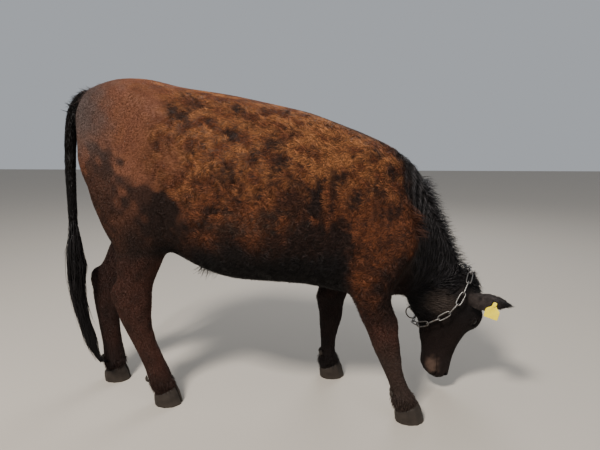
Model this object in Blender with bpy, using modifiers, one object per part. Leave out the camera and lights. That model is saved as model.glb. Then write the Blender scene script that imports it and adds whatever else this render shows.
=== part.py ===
"""A young dark beef cow, polled, standing with its head down to graze. Life size, in metres.

The animal faces +X, its right side is towards -Y, and the floor is z = 0. The flesh is modelled whole:
lofts and muscle masses are fused by a voxel remesh, melted together, thinned, and parted into named
nodes by thin flat cuts. Ears, eyes, claws, tail, udder, tag and collar are bodies of their own, trimmed
to sit a hair's breadth off the flesh. At the end everything moves so that the origin is under the middle.
"""

import math

import bmesh
import bpy
import numpy as np
from mathutils import Euler, Matrix, Vector
from mathutils.bvhtree import BVHTree

# ---- driving dimensions -------------------------------------------------------------------------
GAP = 0.0004                # clearance kept between neighbouring pieces
VOXEL = 0.009               # remesh size of the fused flesh
MELT_STEPS = 60             # smoothing passes on the body; legs and face take fewer
FLESH_TRIANGLES = 3190      # after thinning, before the cuts

RIGHT, LEFT = -1, 1         # the sign of y on each side
SIDES = {RIGHT: "right", LEFT: "left"}

# ---- trunk: (top x, top z), (bottom x, bottom z), half width, widest level, squareness ----------
# The widest level is measured from mid height, as a share of the half height.
TRUNK = {
    "dock":     ((-0.612, 1.140), (-0.600, 0.985), 0.050, 0.00, 2.0),
    "pins":     ((-0.574, 1.196), (-0.540, 0.830), 0.125, 0.25, 2.3),
    "croup":    ((-0.480, 1.228), (-0.460, 0.730), 0.180, 0.30, 2.5),
    "hooks":    ((-0.360, 1.236), (-0.330, 0.650), 0.212, 0.32, 2.6),
    "loin":     ((-0.230, 1.206), (-0.230, 0.570), 0.238, 0.05, 2.4),
    "paunch":   ((-0.060, 1.180), (-0.070, 0.506), 0.280, -0.06, 2.25),
    "ribs":     ((0.100, 1.146), (0.090, 0.492), 0.284, -0.08, 2.2),
    "girth":    ((0.240, 1.114), (0.230, 0.480), 0.256, -0.08, 2.2),
    "withers":  ((0.370, 1.066), (0.370, 0.444), 0.208, -0.10, 2.1),
    "breast":   ((0.480, 1.022), (0.500, 0.426), 0.176, -0.10, 2.1),
    "brisket":  ((0.560, 0.930), (0.590, 0.456), 0.118, -0.20, 2.0),
}

# ---- neck: crest point, throat point, half width, sideways place, widest level, squareness -------
NECK = {
    "root":     ((0.430, 1.048), (0.520, 0.480), 0.160, 0.000, -0.10, 2.1),
    "lower":    ((0.560, 0.982), (0.580, 0.444), 0.140, 0.006, -0.05, 2.0),
    "middle":   ((0.654, 0.876), (0.602, 0.421), 0.118, 0.026, 0.00, 2.0),
    "upper":    ((0.714, 0.754), (0.622, 0.371), 0.102, 0.056, 0.05, 2.0),
    "throat":   ((0.775, 0.640), (0.648, 0.314), 0.088, 0.088, 0.10, 2.0),
    "nape":     ((0.818, 0.548), (0.700, 0.286), 0.076, 0.112, 0.10, 2.0),
    "atlas":    ((0.846, 0.490), (0.760, 0.290), 0.066, 0.124, 0.10, 2.0),
}

# ---- head, in its own frame: +X poll to muzzle, +Z brow, +Y left ---------------------------------
HEAD_PLACE = Vector((0.866, 0.128, 0.484))   # the poll
HEAD_PITCH = math.radians(105)               # nose down, past the vertical
HEAD_YAW = math.radians(15)                  # face turned to the animal's left
HEAD_LENGTH = 0.440
# along the head as a share of its length, brow height, jaw depth, half width, widest level, squareness
SKULL = {
    "poll":     (0.000, 0.020, -0.090, 0.062, 0.10, 2.2),
    "forehead": (0.130, 0.050, -0.146, 0.084, 0.35, 2.4),
    "orbits":   (0.372, 0.063, -0.168, 0.092, 0.50, 2.4),
    "cheeks":   (0.500, 0.041, -0.158, 0.075, 0.45, 2.2),
    "bridge":   (0.660, 0.030, -0.126, 0.058, 0.40, 2.2),
    "nose":     (0.840, 0.027, -0.096, 0.054, 0.25, 2.4),
    "muzzle":   (0.935, 0.026, -0.078, 0.060, 0.15, 2.6),
    "lips":     (0.998, 0.008, -0.050, 0.044, 0.00, 2.4),
}
EYE_PLACE = (0.163, 0.082, 0.021)            # left eye in the head's frame
EYE_RADIUS = 0.0175
EAR_ROOT = (0.089, 0.056, -0.004)            # left ear in the head's frame
EAR_ALONG = (-0.178, 0.965, 0.190)
EAR_OPENING = (0.49, -0.115, 0.866)          # the way the hollow of the ear faces
EAR_LENGTH = 0.222
# along the ear, half width, hollow depth, thickness
EAR_SHAPE = [
    (0.00, 0.024, 0.022, 0.018), (0.18, 0.033, 0.024, 0.012), (0.38, 0.040, 0.020, 0.009),
    (0.60, 0.035, 0.014, 0.008), (0.78, 0.024, 0.009, 0.007), (0.92, 0.012, 0.005, 0.006),
    (1.00, 0.004, 0.001, 0.004),
]

# ---- legs: joints as (x, y, z); y is for the left side and is mirrored for the right ---------------
FORE_JOINTS = {
    RIGHT: [(0.475, 0.100, 0.850), (0.545, 0.136, 0.668), (0.454, 0.152, 0.520), (0.507, 0.154, 0.305),
            (0.577, 0.153, 0.095), (0.597, 0.154, 0.052)],
    LEFT: [(0.460, 0.100, 0.850), (0.505, 0.136, 0.674), (0.376, 0.156, 0.520), (0.316, 0.168, 0.292),
           (0.308, 0.174, 0.092), (0.324, 0.176, 0.050)],
}
HIND_JOINTS = {
    RIGHT: [(-0.450, 0.090, 1.020), (-0.405, 0.120, 0.860), (-0.366, 0.122, 0.690), (-0.428, 0.102, 0.428),
            (-0.338, 0.088, 0.128), (-0.316, 0.086, 0.052)],
    LEFT: [(-0.450, 0.090, 1.020), (-0.444, 0.120, 0.860), (-0.450, 0.125, 0.690), (-0.604, 0.108, 0.430),
           (-0.594, 0.098, 0.118), (-0.584, 0.098, 0.052)],
}
# place along the joints (2.5 is half way from joint 2 to joint 3), front, back, side thickness
FORE_PROFILE = [
    (0.0, 0.080, 0.090, 0.050), (0.5, 0.076, 0.110, 0.060), (1.0, 0.076, 0.140, 0.070), (2.0, 0.086, 0.090, 0.064),
    (2.35, 0.062, 0.068, 0.056), (2.75, 0.048, 0.052, 0.043), (3.0, 0.054, 0.050, 0.048), (3.25, 0.044, 0.041, 0.038),
    (3.6, 0.032, 0.034, 0.032), (3.85, 0.035, 0.037, 0.036), (4.0, 0.041, 0.044, 0.044), (4.5, 0.039, 0.037, 0.043),
    (5.0, 0.043, 0.041, 0.048), (5.6, 0.041, 0.037, 0.042),
]
HIND_PROFILE = [
    (0.0, 0.120, 0.118, 0.078), (0.6, 0.140, 0.132, 0.094), (1.0, 0.150, 0.144, 0.104), (2.0, 0.110, 0.138, 0.086),
    (2.35, 0.098, 0.088, 0.064), (2.7, 0.086, 0.054, 0.050), (2.9, 0.086, 0.058, 0.048), (3.08, 0.081, 0.062, 0.048),
    (3.25, 0.062, 0.054, 0.043), (3.5, 0.045, 0.045, 0.037), (3.8, 0.041, 0.042, 0.038), (4.0, 0.044, 0.046, 0.044),
    (4.5, 0.042, 0.041, 0.043), (5.0, 0.044, 0.043, 0.048), (5.6, 0.041, 0.039, 0.042),
]
# foot centre on the floor as (x, y), and how far the toes turn out
FEET = {
    ("fore", RIGHT): ((0.600, -0.155), -6), ("fore", LEFT): ((0.322, 0.177), 6),
    ("hind", RIGHT): ((-0.309, -0.086), -5), ("hind", LEFT): ((-0.587, 0.098), 5),
}
FLOOR = 0.013               # the floor before everything is moved down onto z = 0
CORONET_HEIGHT = 0.070      # top of the hoof over the middle of the foot
CORONET_SLOPE = 0.36        # the hoof is taller at the toe than at the heel
CLAW_GAP = 0.006            # the cleft between the two claws

# ---- tail: x, z, half width; the switch has its own list -------------------------------------------
TAIL = [
    (-0.545, 1.166, 0.036), (-0.588, 1.163, 0.034), (-0.622, 1.138, 0.030), (-0.648, 1.088, 0.026),
    (-0.664, 1.000, 0.024), (-0.672, 0.900, 0.022), (-0.676, 0.780, 0.020), (-0.678, 0.660, 0.019),
]
SWITCH = [
    (-0.678, 0.660, 0.019), (-0.678, 0.600, 0.030), (-0.680, 0.530, 0.036), (-0.684, 0.460, 0.031),
    (-0.676, 0.380, 0.023), (-0.658, 0.290, 0.015), (-0.640, 0.220, 0.010), (-0.622, 0.165, 0.004),
]

# ---- collar: a chain just behind the ears, and the ear tag ------------------------------------------
COLLAR_CREST = Vector((0.846, 0.110, 0.497))
COLLAR_THROAT = Vector((0.645, 0.092, 0.290))
COLLAR_SAG = 0.022          # the chain hangs forward onto the cheeks,
COLLAR_SKEW = 0.013         # and further on the right side, because the face is turned left
LINK_LENGTH = 0.045         # clear length inside a link
LINK_WIDTH = 0.0135         # clear width inside a link
LINK_PLAY = 0.0030          # slack between one link and the next
CHAIN_CLEAR = 0.0013        # least distance from the chain to the skin
WIRE = 0.0027               # radius of the wire
RING_RADIUS = 0.0245
RING_TWIST = 50             # degrees the ring turns away from square to its link
TAG_WIDTH = 0.050           # of the flap
# round the flap: across as a share of its width, down from the pin
TAG_OUTLINE = [(-0.13, -0.010), (0.13, -0.010), (0.16, 0.006), (0.50, 0.019), (0.50, 0.050),
               (-0.50, 0.050), (-0.50, 0.019), (-0.16, 0.006)]
TAG_THICKNESS = 0.0022
TAG_PLACE = 0.710           # along the right ear
TAG_DROP = 0.014            # from the middle of the ear down to the pin
TAG_FACING = Vector((-0.30, -0.95, 0.10))
TAG_HANG = Vector((-0.18, 0.0, -1.0))

# ---- cuts that part the flesh: a point on the cut and the cut's direction ---------------------------
NECK_CUT = (Vector((0.590, 0.010, 0.690)), Vector((0.985, 0.030, 0.100)))
HEAD_CUT = (Vector((0.765, 0.110, 0.410)), Vector((0.787, 0.180, -0.590)))
THIGH_CUT = (Vector((-0.440, 0.0, 0.800)), Vector((-0.720, 0.0, -0.690)))
STIFLE_HEIGHT = 0.600
ELBOW_HEIGHT = 0.405

# ---- paint -----------------------------------------------------------------------------------------
COLOURS = {
    "coat": ((0.055, 0.030, 0.020), 0.75, 0.0),
    "dark_coat": ((0.012, 0.010, 0.010), 0.75, 0.0),
    "horn": ((0.045, 0.040, 0.038), 0.55, 0.0),
    "eye": ((0.010, 0.007, 0.006), 0.08, 0.0),
    "skin": ((0.110, 0.075, 0.062), 0.60, 0.0),
    "steel": ((0.560, 0.560, 0.550), 0.30, 1.0),
    "tag": ((0.850, 0.700, 0.060), 0.45, 0.0),
}


def smooth_rows(rows, steps):
    """Catmull-Rom through rows of numbers, so that a few sections give a smooth body."""
    rows = np.array(rows, float)
    ends = np.vstack([2 * rows[0] - rows[1], rows, 2 * rows[-1] - rows[-2]])
    found = []
    for i in range(1, len(ends) - 2):
        before, start, stop, after = ends[i - 1], ends[i], ends[i + 1], ends[i + 2]
        for t in np.arange(steps) / steps:
            found.append(0.5 * (2 * start + (stop - before) * t
                                + (2 * before - 5 * start + 4 * stop - after) * t ** 2
                                + (3 * start - before - 3 * stop + after) * t ** 3))
    return np.array(found + [rows[-1]]).tolist()


def ring(centre, side, fore, wide=0.0, power=2.0, count=44, back=None):
    """Points round a section: a superellipse whose widest level can sit above or below the middle."""
    back = fore if back is None else back
    points = []
    for k in range(count):
        angle = 2 * math.pi * k / count
        c, s = math.cos(angle), math.sin(angle)
        u = math.copysign(abs(c) ** (2 / power), c)
        v = math.copysign(abs(s) ** (2 / power), s)
        v += wide * (1 - v * v)
        points.append(centre + u * side + v * (fore if v > 0 else back))
    return points


def add_loft(bm, rings):
    """Skins a row of rings and closes both ends."""
    loops = [[bm.verts.new(p) for p in points] for points in rings]
    count = len(loops[0])
    for first, second in zip(loops, loops[1:]):
        for k in range(count):
            j = (k + 1) % count
            bm.faces.new((first[k], first[j], second[j], second[k]))
    for loop, turn in ((loops[0], -1), (loops[-1], 1)):
        bm.faces.new(loop[::turn])


def add_mass(bm, centre, radii, turn=(0, 0, 0), segments=24, rows=16):
    """A muscle or bone as a scaled, turned ball."""
    shape = Matrix.Translation(centre) @ Euler([math.radians(a) for a in turn]).to_matrix().to_4x4()
    shape = shape @ Matrix.Diagonal((*radii, 1))
    bmesh.ops.create_uvsphere(bm, u_segments=segments, v_segments=rows, radius=1, matrix=shape)


def both(bm, centre, radii, turn=(0, 0, 0)):
    """The same mass on both sides."""
    for sign in (RIGHT, LEFT):
        place = (centre[0], sign * centre[1], centre[2])
        add_mass(bm, place, radii, (sign * turn[0], turn[1], sign * turn[2]))


def mesh_object(name, bm):
    """Hands a body over to the scene, facing out."""
    bmesh.ops.recalc_face_normals(bm, faces=bm.faces)
    data = bpy.data.meshes.new(name)
    bm.to_mesh(data)
    bm.free()
    obj = bpy.data.objects.new(name, data)
    bpy.context.scene.collection.objects.link(obj)
    return obj


def settle(obj):
    """Keeps the result of an object's modifiers as its mesh."""
    evaluated = obj.evaluated_get(bpy.context.evaluated_depsgraph_get())
    data = bpy.data.meshes.new_from_object(evaluated)
    old = obj.data
    obj.modifiers.clear()
    obj.data = data
    bpy.data.meshes.remove(old)


def bmesh_of(obj, grow=0.0):
    """A working copy of an object's mesh, swollen by a given amount."""
    bm = bmesh.new()
    bm.from_mesh(obj.data)
    bm.normal_update()
    for vert, move in [(v, v.normal * grow) for v in bm.verts]:
        vert.co += move
    return bm


def subtract(obj, tool_mesh):
    """Takes a body away from an object and keeps the largest piece that is left."""
    tool = mesh_object("tool", tool_mesh)
    cut = obj.modifiers.new("cut", "BOOLEAN")
    cut.operation, cut.solver, cut.object = "DIFFERENCE", "EXACT", tool
    settle(obj)
    bpy.data.objects.remove(tool)
    bm = bmesh_of(obj)
    bmesh.ops.remove_doubles(bm, verts=bm.verts, dist=0.00002)
    pieces = sorted(islands(bm), key=len)
    bmesh.ops.delete(bm, geom=[face for piece in pieces[:-1] for face in piece], context="FACES")
    bmesh.ops.triangulate(bm, faces=bm.faces)
    bm.to_mesh(obj.data)
    bm.free()


def islands(bm, faces=None):
    """Groups faces that touch each other over an edge."""
    allowed = set(bm.faces if faces is None else faces)
    groups = []
    while allowed:
        first = allowed.pop()
        group, edge_of_search = [first], [first]
        while edge_of_search:
            face = edge_of_search.pop()
            for edge in face.edges:
                for other in edge.link_faces:
                    if other in allowed:
                        allowed.remove(other)
                        group.append(other)
                        edge_of_search.append(other)
        groups.append(group)
    return groups


# ---- flesh -----------------------------------------------------------------------------------------
def add_trunk(bm):
    rows = [(*top, *bottom, half, wide, power) for top, bottom, half, wide, power in TRUNK.values()]
    rings = []
    for tx, tz, bx, bz, half, wide, power in smooth_rows(rows, 5):
        top, bottom = Vector((tx, 0, tz)), Vector((bx, 0, bz))
        rings.append(ring((top + bottom) / 2, Vector((0, half, 0)), (top - bottom) / 2, wide, power))
    add_loft(bm, rings)


def add_neck(bm):
    rows = [(*top, *bottom, half, y, wide, power) for top, bottom, half, y, wide, power in NECK.values()]
    rings = []
    for tx, tz, bx, bz, half, y, wide, power in smooth_rows(rows, 5):
        top, bottom = Vector((tx, y, tz)), Vector((bx, y, bz))
        rings.append(ring((top + bottom) / 2, Vector((0, half, 0)), (top - bottom) / 2, wide, power))
    add_loft(bm, rings)


def head_frame():
    """Places the head's own frame in the animal."""
    turn = Matrix.Rotation(HEAD_YAW, 4, "Z") @ Matrix.Rotation(HEAD_PITCH, 4, "Y")
    return Matrix.Translation(HEAD_PLACE) @ turn


def add_head(bm):
    frame = head_frame()
    rings = []
    rows = [(share * HEAD_LENGTH, *rest) for share, *rest in SKULL.values()]
    for x, top, bottom, half, wide, power in smooth_rows(rows, 5):
        centre = Vector((x, 0, (top + bottom) / 2))
        points = ring(centre, Vector((0, half, 0)), Vector((0, 0, (top - bottom) / 2)), wide, power)
        rings.append([frame @ p for p in points])
    add_loft(bm, rings)
    masses = bmesh.new()
    add_mass(masses, (0.012, 0, -0.004), (0.032, 0.050, 0.038))             # poll knob
    both(masses, (0.164, 0.066, 0.034), (0.054, 0.034, 0.033), (0, 14, -8))  # brow over the eye
    both(masses, (0.190, 0.060, -0.010), (0.050, 0.026, 0.034), (0, 8, 0))  # cheek bone under the eye
    both(masses, (0.105, 0.054, -0.095), (0.085, 0.038, 0.070), (0, -20, 0))  # cheek muscle
    both(masses, (0.080, 0.052, -0.010), (0.042, 0.034, 0.036))             # ear root
    add_mass(masses, (0.392, 0, -0.004), (0.046, 0.058, 0.036))             # nose pad
    add_mass(masses, (0.372, 0, -0.066), (0.048, 0.044, 0.026))             # chin
    add_mass(masses, (0.225, 0, -0.118), (0.130, 0.036, 0.036), (0, -16, 0))  # lower jaw
    bmesh.ops.transform(masses, matrix=frame, verts=masses.verts)
    carried = bpy.data.meshes.new("head masses")
    masses.to_mesh(carried)
    masses.free()
    bm.from_mesh(carried)
    bpy.data.meshes.remove(carried)


def limb_rings(joints, profile, sign):
    """Rings square to a path through the joints."""
    joints = np.array(joints, float) * (1, sign, 1)
    path = smooth_rows(joints, 20)
    rows = smooth_rows(profile, 4)
    rings = []
    for place, front, back, side in rows:
        at = min(place, len(joints) - 1) * 20
        i = min(int(at), len(path) - 2)
        centre = Vector(path[i]).lerp(Vector(path[i + 1]), at - i)
        along = Vector(path[min(i + 4, len(path) - 1)]) - Vector(path[max(i - 4, 0)])
        along.y = 0
        along.normalize()
        centre += along * max(place - (len(joints) - 1), 0) * 0.03
        fore = along.cross(Vector((0, 1, 0)))
        rings.append(ring(centre, Vector((0, side, 0)), fore * front, 0, 2.1, 32, fore * back))
    return rings


def add_legs(bm):
    for sign in (RIGHT, LEFT):
        add_loft(bm, limb_rings(FORE_JOINTS[sign], FORE_PROFILE, sign))
        add_loft(bm, limb_rings(HIND_JOINTS[sign], HIND_PROFILE, sign))
        hock = Vector(HIND_JOINTS[sign][3])
        add_mass(bm, (hock.x - 0.050, sign * hock.y, hock.z + 0.026), (0.030, 0.024, 0.052), (0, 14, 0))


def add_muscles(bm):
    both(bm, (-0.345, 0.150, 1.144), (0.095, 0.060, 0.050), (0, 10, 0))     # hook bones
    both(bm, (-0.548, 0.086, 1.080), (0.062, 0.048, 0.090), (0, 0, 0))      # pin bones
    both(bm, (0.450, 0.084, 0.850), (0.110, 0.080, 0.180), (-14, -28, 0))   # shoulder blade
    both(bm, (0.535, 0.112, 0.700), (0.082, 0.078, 0.095))                  # point of shoulder
    both(bm, (0.396, 0.124, 0.680), (0.150, 0.088, 0.140))                  # triceps
    both(bm, (-0.262, 0.138, 0.725), (0.080, 0.050, 0.090), (0, 25, 0))     # stifle and flank fold
    both(bm, (-0.515, 0.090, 0.925), (0.082, 0.062, 0.152), (0, -18, 0))    # buttock
    add_mass(bm, (0.318, 0.160, 0.400), (0.066, 0.040, 0.130), (0, 8, 0))   # back of the left forearm
    add_mass(bm, (0.500, -0.154, 0.385), (0.056, 0.040, 0.125), (0, -10, 0))     # front of the right forearm
    add_mass(bm, (0.555, 0, 0.500), (0.085, 0.070, 0.072))                  # brisket
    add_mass(bm, (-0.160, 0, 0.536), (0.085, 0.024, 0.020), (0, 17, 0))     # navel fold


def softness(points):
    """How far each point of the flesh gives in the melting: all of it on the body, little on legs and face."""
    frame = np.array(head_frame().inverted())
    head = points @ frame[:3, :3].T + frame[:3, 3]
    give = np.clip((points[:, 2] - 0.44) / 0.16, 0.0, 1.0)
    hind = points[:, 0] < -0.20
    give[hind] = np.clip((points[hind, 2] - 0.56) / 0.20, 0.0, 1.0)
    near_head = (points[:, 0] > 0.60) & (head[:, 0] > -0.12)
    give[near_head] = np.clip(-head[near_head, 0] / 0.12, 0.0, 1.0)
    least = np.where(near_head, 0.28, 0.16)
    return least + (1.0 - least) * give


def melt(obj, passes):
    """Smooths the fused flesh so that the muscles run into each other, without shrinking it."""
    mesh = obj.data
    points = np.empty(len(mesh.vertices) * 3)
    mesh.vertices.foreach_get("co", points)
    points = points.reshape(-1, 3)
    edges = np.empty(len(mesh.edges) * 2, int)
    mesh.edges.foreach_get("vertices", edges)
    edges = edges.reshape(-1, 2)
    count = np.bincount(edges.ravel(), minlength=len(points))[:, None]
    give = softness(points)[:, None]
    for step in range(passes):
        for factor in (0.60, -0.42 if step < passes - 4 else 0.0):
            total = np.zeros_like(points)
            for axis in range(3):
                total[:, axis] = (np.bincount(edges[:, 0], points[edges[:, 1], axis], len(points))
                                  + np.bincount(edges[:, 1], points[edges[:, 0], axis], len(points)))
            points = points + factor * give * (total / count - points)
    mesh.vertices.foreach_set("co", points.ravel())
    mesh.update()


def make_flesh():
    bm = bmesh.new()
    add_trunk(bm)
    add_neck(bm)
    add_head(bm)
    add_legs(bm)
    add_muscles(bm)
    flesh = mesh_object("flesh", bm)
    fuse = flesh.modifiers.new("fuse", "REMESH")
    fuse.mode = "VOXEL"
    fuse.voxel_size = VOXEL
    settle(flesh)
    melt(flesh, MELT_STEPS)
    return flesh


def thin(obj):
    """Thins the melted flesh; the head and the feet keep finer facets than the barrel."""
    points = np.empty(len(obj.data.vertices) * 3)
    obj.data.vertices.foreach_get("co", points)
    give = softness(points.reshape(-1, 3))
    coarse = obj.vertex_groups.new(name="coarse")
    for step in range(11):
        chosen = np.flatnonzero(np.round(give * 10) == step)
        if len(chosen):
            coarse.add(chosen.tolist(), step / 10, "REPLACE")
    fewer = obj.modifiers.new("fewer", "DECIMATE")
    fewer.vertex_group = "coarse"
    fewer.vertex_group_factor = 0.3
    fewer.ratio = FLESH_TRIANGLES / (2 * len(obj.data.polygons))
    fewer.use_collapse_triangulate = True
    settle(obj)
    obj.vertex_groups.clear()


# ---- parting the flesh --------------------------------------------------------------------------------
def cut_ring(bm, point, direction):
    """Opens a flat slit, GAP wide, through the limb or neck that is nearest to a point, and closes both sides."""
    direction = direction.normalized()
    half = GAP / 2
    bm.faces.ensure_lookup_table()
    crossing = []
    for face in bm.faces:
        heights = [(v.co - point).dot(direction) for v in face.verts]
        if min(heights) < half and max(heights) > -half:
            crossing.append(face)
    band = min(islands(bm, crossing), key=lambda g: min((f.calc_center_median() - point).length for f in g))
    for side in (-half, half):
        geometry = set(band)
        for face in band:
            geometry.update(face.edges)
            geometry.update(face.verts)
        marks = set(bm.faces) - set(band)
        bmesh.ops.bisect_plane(bm, geom=list(geometry), plane_co=point + direction * side,
                               plane_no=direction, dist=1e-7)
        band = [face for face in bm.faces if face not in marks]
    between = [f for f in band if abs((f.calc_center_median() - point).dot(direction)) < half * 0.98
               and all(abs((v.co - point).dot(direction)) < half * 1.02 for v in f.verts)]
    bmesh.ops.delete(bm, geom=between, context="FACES")
    for side in (-half, half):
        rim = [e for e in bm.edges if e.is_boundary
               and all(abs((v.co - point).dot(direction) - side) < half * 0.05 for v in e.verts)]
        bmesh.ops.triangle_fill(bm, edges=rim, use_beauty=True, normal=-direction * math.copysign(1, side))


def part_flesh(flesh):
    """Parts the flesh into nodes and gives them as a dictionary of objects."""
    bm = bmesh_of(flesh)
    cuts = [NECK_CUT, HEAD_CUT, THIGH_CUT, (Vector((-0.58, 0.0, 0.80)), Vector((0, 1, 0)))]
    seeds = {"trunk": Vector((0.0, 0.0, 1.16)), "neck": Vector((0.680, 0.030, 0.700)), "head": head_frame() @ Vector((0.25, 0, 0.05))}
    for sign, side in SIDES.items():
        seeds["thigh_" + side] = Vector((-0.45, sign * 0.17, 0.80))
        for limb, joints, height in (("fore", FORE_JOINTS, ELBOW_HEIGHT), ("hind", HIND_JOINTS, STIFLE_HEIGHT)):
            points = [Vector((x, sign * y, z)) for x, y, z in joints[sign]]
            share = (points[2].z - height) / (points[2].z - points[3].z)
            top = points[2].lerp(points[3], share)
            cuts.append((top, Vector((0, 0, 1))))
            bend = points[3] + Vector((0, 0, -0.045 if limb == "hind" else -0.020))
            cuts.append((bend, points[3] - points[4]))
            (x, y), turn = FEET[(limb, sign)]
            cuts.append((Vector((x, y, CORONET_HEIGHT)), coronet_normal(turn)))
            name = limb + "_leg_" + side
            seeds[name + "_upper"] = top.lerp(points[3], 0.5)
            seeds[name + "_lower"] = points[3].lerp(points[4], 0.5)
            seeds[name + "_core"] = Vector((x, y, 0.04))
    for point, direction in cuts:
        cut_ring(bm, point, direction)
    found = {}
    pieces = islands(bm)
    for name, seed in seeds.items():
        nearest = min(pieces, key=lambda g: min((v.co - seed).length for f in g for v in f.verts))
        pieces.remove(nearest)
        found[name] = nearest
    nodes = {}
    for name, faces in found.items():
        if name.endswith("_core"):
            continue                        # the claws take the place of the flesh below the coronet
        piece = bmesh.new()
        places = {}
        for face in faces:
            for vert in face.verts:
                if vert not in places:
                    places[vert] = piece.verts.new(vert.co)
            piece.faces.new([places[v] for v in face.verts])
        nodes[name] = mesh_object(name, piece)
    bm.free()
    bpy.data.objects.remove(flesh)
    return nodes


# ---- feet -----------------------------------------------------------------------------------------------
def coronet_normal(turn):
    """The way the top of the hoof faces, for a foot turned by some degrees."""
    return Matrix.Rotation(math.radians(turn), 3, "Z") @ Vector((-CORONET_SLOPE, 0, 1)).normalized()


def make_claws(nodes):
    for (limb, sign), ((x, y), turn) in FEET.items():
        spin = Matrix.Translation((x, y, 0)) @ Matrix.Rotation(math.radians(turn), 4, "Z")
        for claw, outward in (("inner", -sign), ("outer", sign)):
            bm = bmesh.new()
            rings = []
            for height, length, width, forward in ((0.0, 0.0530, 0.0450, 0.003), (0.55, 0.049, 0.045, -0.003),
                                                   (1.0, 0.042, 0.042, -0.009)):
                points = []
                for k in range(12):
                    angle = 2 * math.pi * k / 12
                    c, s = math.cos(angle), math.sin(angle)
                    px = forward + length * math.copysign(abs(c) ** 0.85, c)
                    reach = width * (1 - 0.50 * max(c, 0) ** 3)
                    py = CLAW_GAP / 2 + (reach * s if s > 0 else 0.0)
                    py += 0.004 * (1 - abs(c)) * (0 if s > 0 else -0.5) + 0.003 * max(c, 0) ** 2
                    py = max(py, CLAW_GAP / 2)
                    top = CORONET_HEIGHT + CORONET_SLOPE * px - GAP * 1.1
                    points.append(spin @ Vector((px, outward * py, FLOOR + height * (top - FLOOR))))
                rings.append(points)
            add_loft(bm, rings)
            bmesh.ops.remove_doubles(bm, verts=bm.verts, dist=0.0003)
            bmesh.ops.triangulate(bm, faces=bm.faces)
            name = f"{limb}_claw_{SIDES[sign]}_{claw}"
            nodes[name] = mesh_object(name, bm)


def make_dewclaws(nodes):
    for (limb, sign), ((x, y), turn) in FEET.items():
        leg = nodes[f"{limb}_leg_{SIDES[sign]}_lower"]
        tree = BVHTree.FromBMesh(bmesh_of(leg))
        path = smooth_rows([(a, sign * b, c) for a, b, c in
                            (FORE_JOINTS if limb == "fore" else HIND_JOINTS)[sign]], 20)
        centre = Vector(min(path, key=lambda p: abs(p[2] - 0.118)))
        for claw, outward in (("inner", -sign), ("outer", sign)):
            way = Matrix.Rotation(math.radians(turn), 3, "Z") @ Vector((-1.0, outward * 0.52, 0)).normalized()
            hit, normal, _, _ = tree.ray_cast(centre, way)
            bm = bmesh.new()
            add_mass(bm, hit - way * 0.003, (0.014, 0.011, 0.017), (0, 24, 0), 8, 5)
            name = f"{limb}_dewclaw_{SIDES[sign]}_{claw}"
            nodes[name] = mesh_object(name, bm)
            subtract(nodes[name], bmesh_of(leg, GAP * 1.4))


# ---- head parts -------------------------------------------------------------------------------------------
def make_eyes(nodes):
    frame = head_frame()
    for sign, side in SIDES.items():
        place = frame @ Vector((EYE_PLACE[0], sign * EYE_PLACE[1], EYE_PLACE[2]))
        bm = bmesh.new()
        add_mass(bm, place, (EYE_RADIUS,) * 3, (90, 0, 0), 12, 8)
        nodes["eye_" + side] = mesh_object("eye_" + side, bm)
        socket = bmesh.new()
        add_mass(socket, place, (EYE_RADIUS + GAP * 2,) * 3, (90, 0, 0), 12, 8)
        subtract(nodes["head"], socket)


def ear_axes(sign):
    """Root, the way out to the tip, across the blade, and the way its hollow faces."""
    frame = head_frame()
    turn = frame.to_3x3()
    along = (turn @ Vector((EAR_ALONG[0], sign * EAR_ALONG[1], EAR_ALONG[2]))).normalized()
    opening = turn @ Vector((EAR_OPENING[0], sign * EAR_OPENING[1], EAR_OPENING[2]))
    opening = (opening - along * opening.dot(along)).normalized()
    return frame @ Vector((EAR_ROOT[0], sign * EAR_ROOT[1], EAR_ROOT[2])), along, opening.cross(along), opening


def make_ears(nodes):
    for sign, side in SIDES.items():
        root, along, across, opening = ear_axes(sign)
        bm = bmesh.new()
        rings = []
        for t, half, hollow, thick in EAR_SHAPE:
            centre = root + along * (EAR_LENGTH * t) - opening * (0.018 * t * t)
            inner, outer = [], []
            for k in range(6):
                u = -1 + 2 * k / 5
                sunk = -opening * hollow * (1 - u * u) * 1.1
                skin = opening * thick / 2 * (1 - 0.75 * u * u)
                inner.append(centre + across * half * u + sunk + skin)
                outer.append(centre + across * half * u + sunk - skin)
            rings.append(inner + outer[::-1])
        add_loft(bm, rings)
        bmesh.ops.triangulate(bm, faces=bm.faces)
        nodes["ear_" + side] = mesh_object("ear_" + side, bm)
        subtract(nodes["ear_" + side], bmesh_of(nodes["head"], GAP * 1.5))


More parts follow.
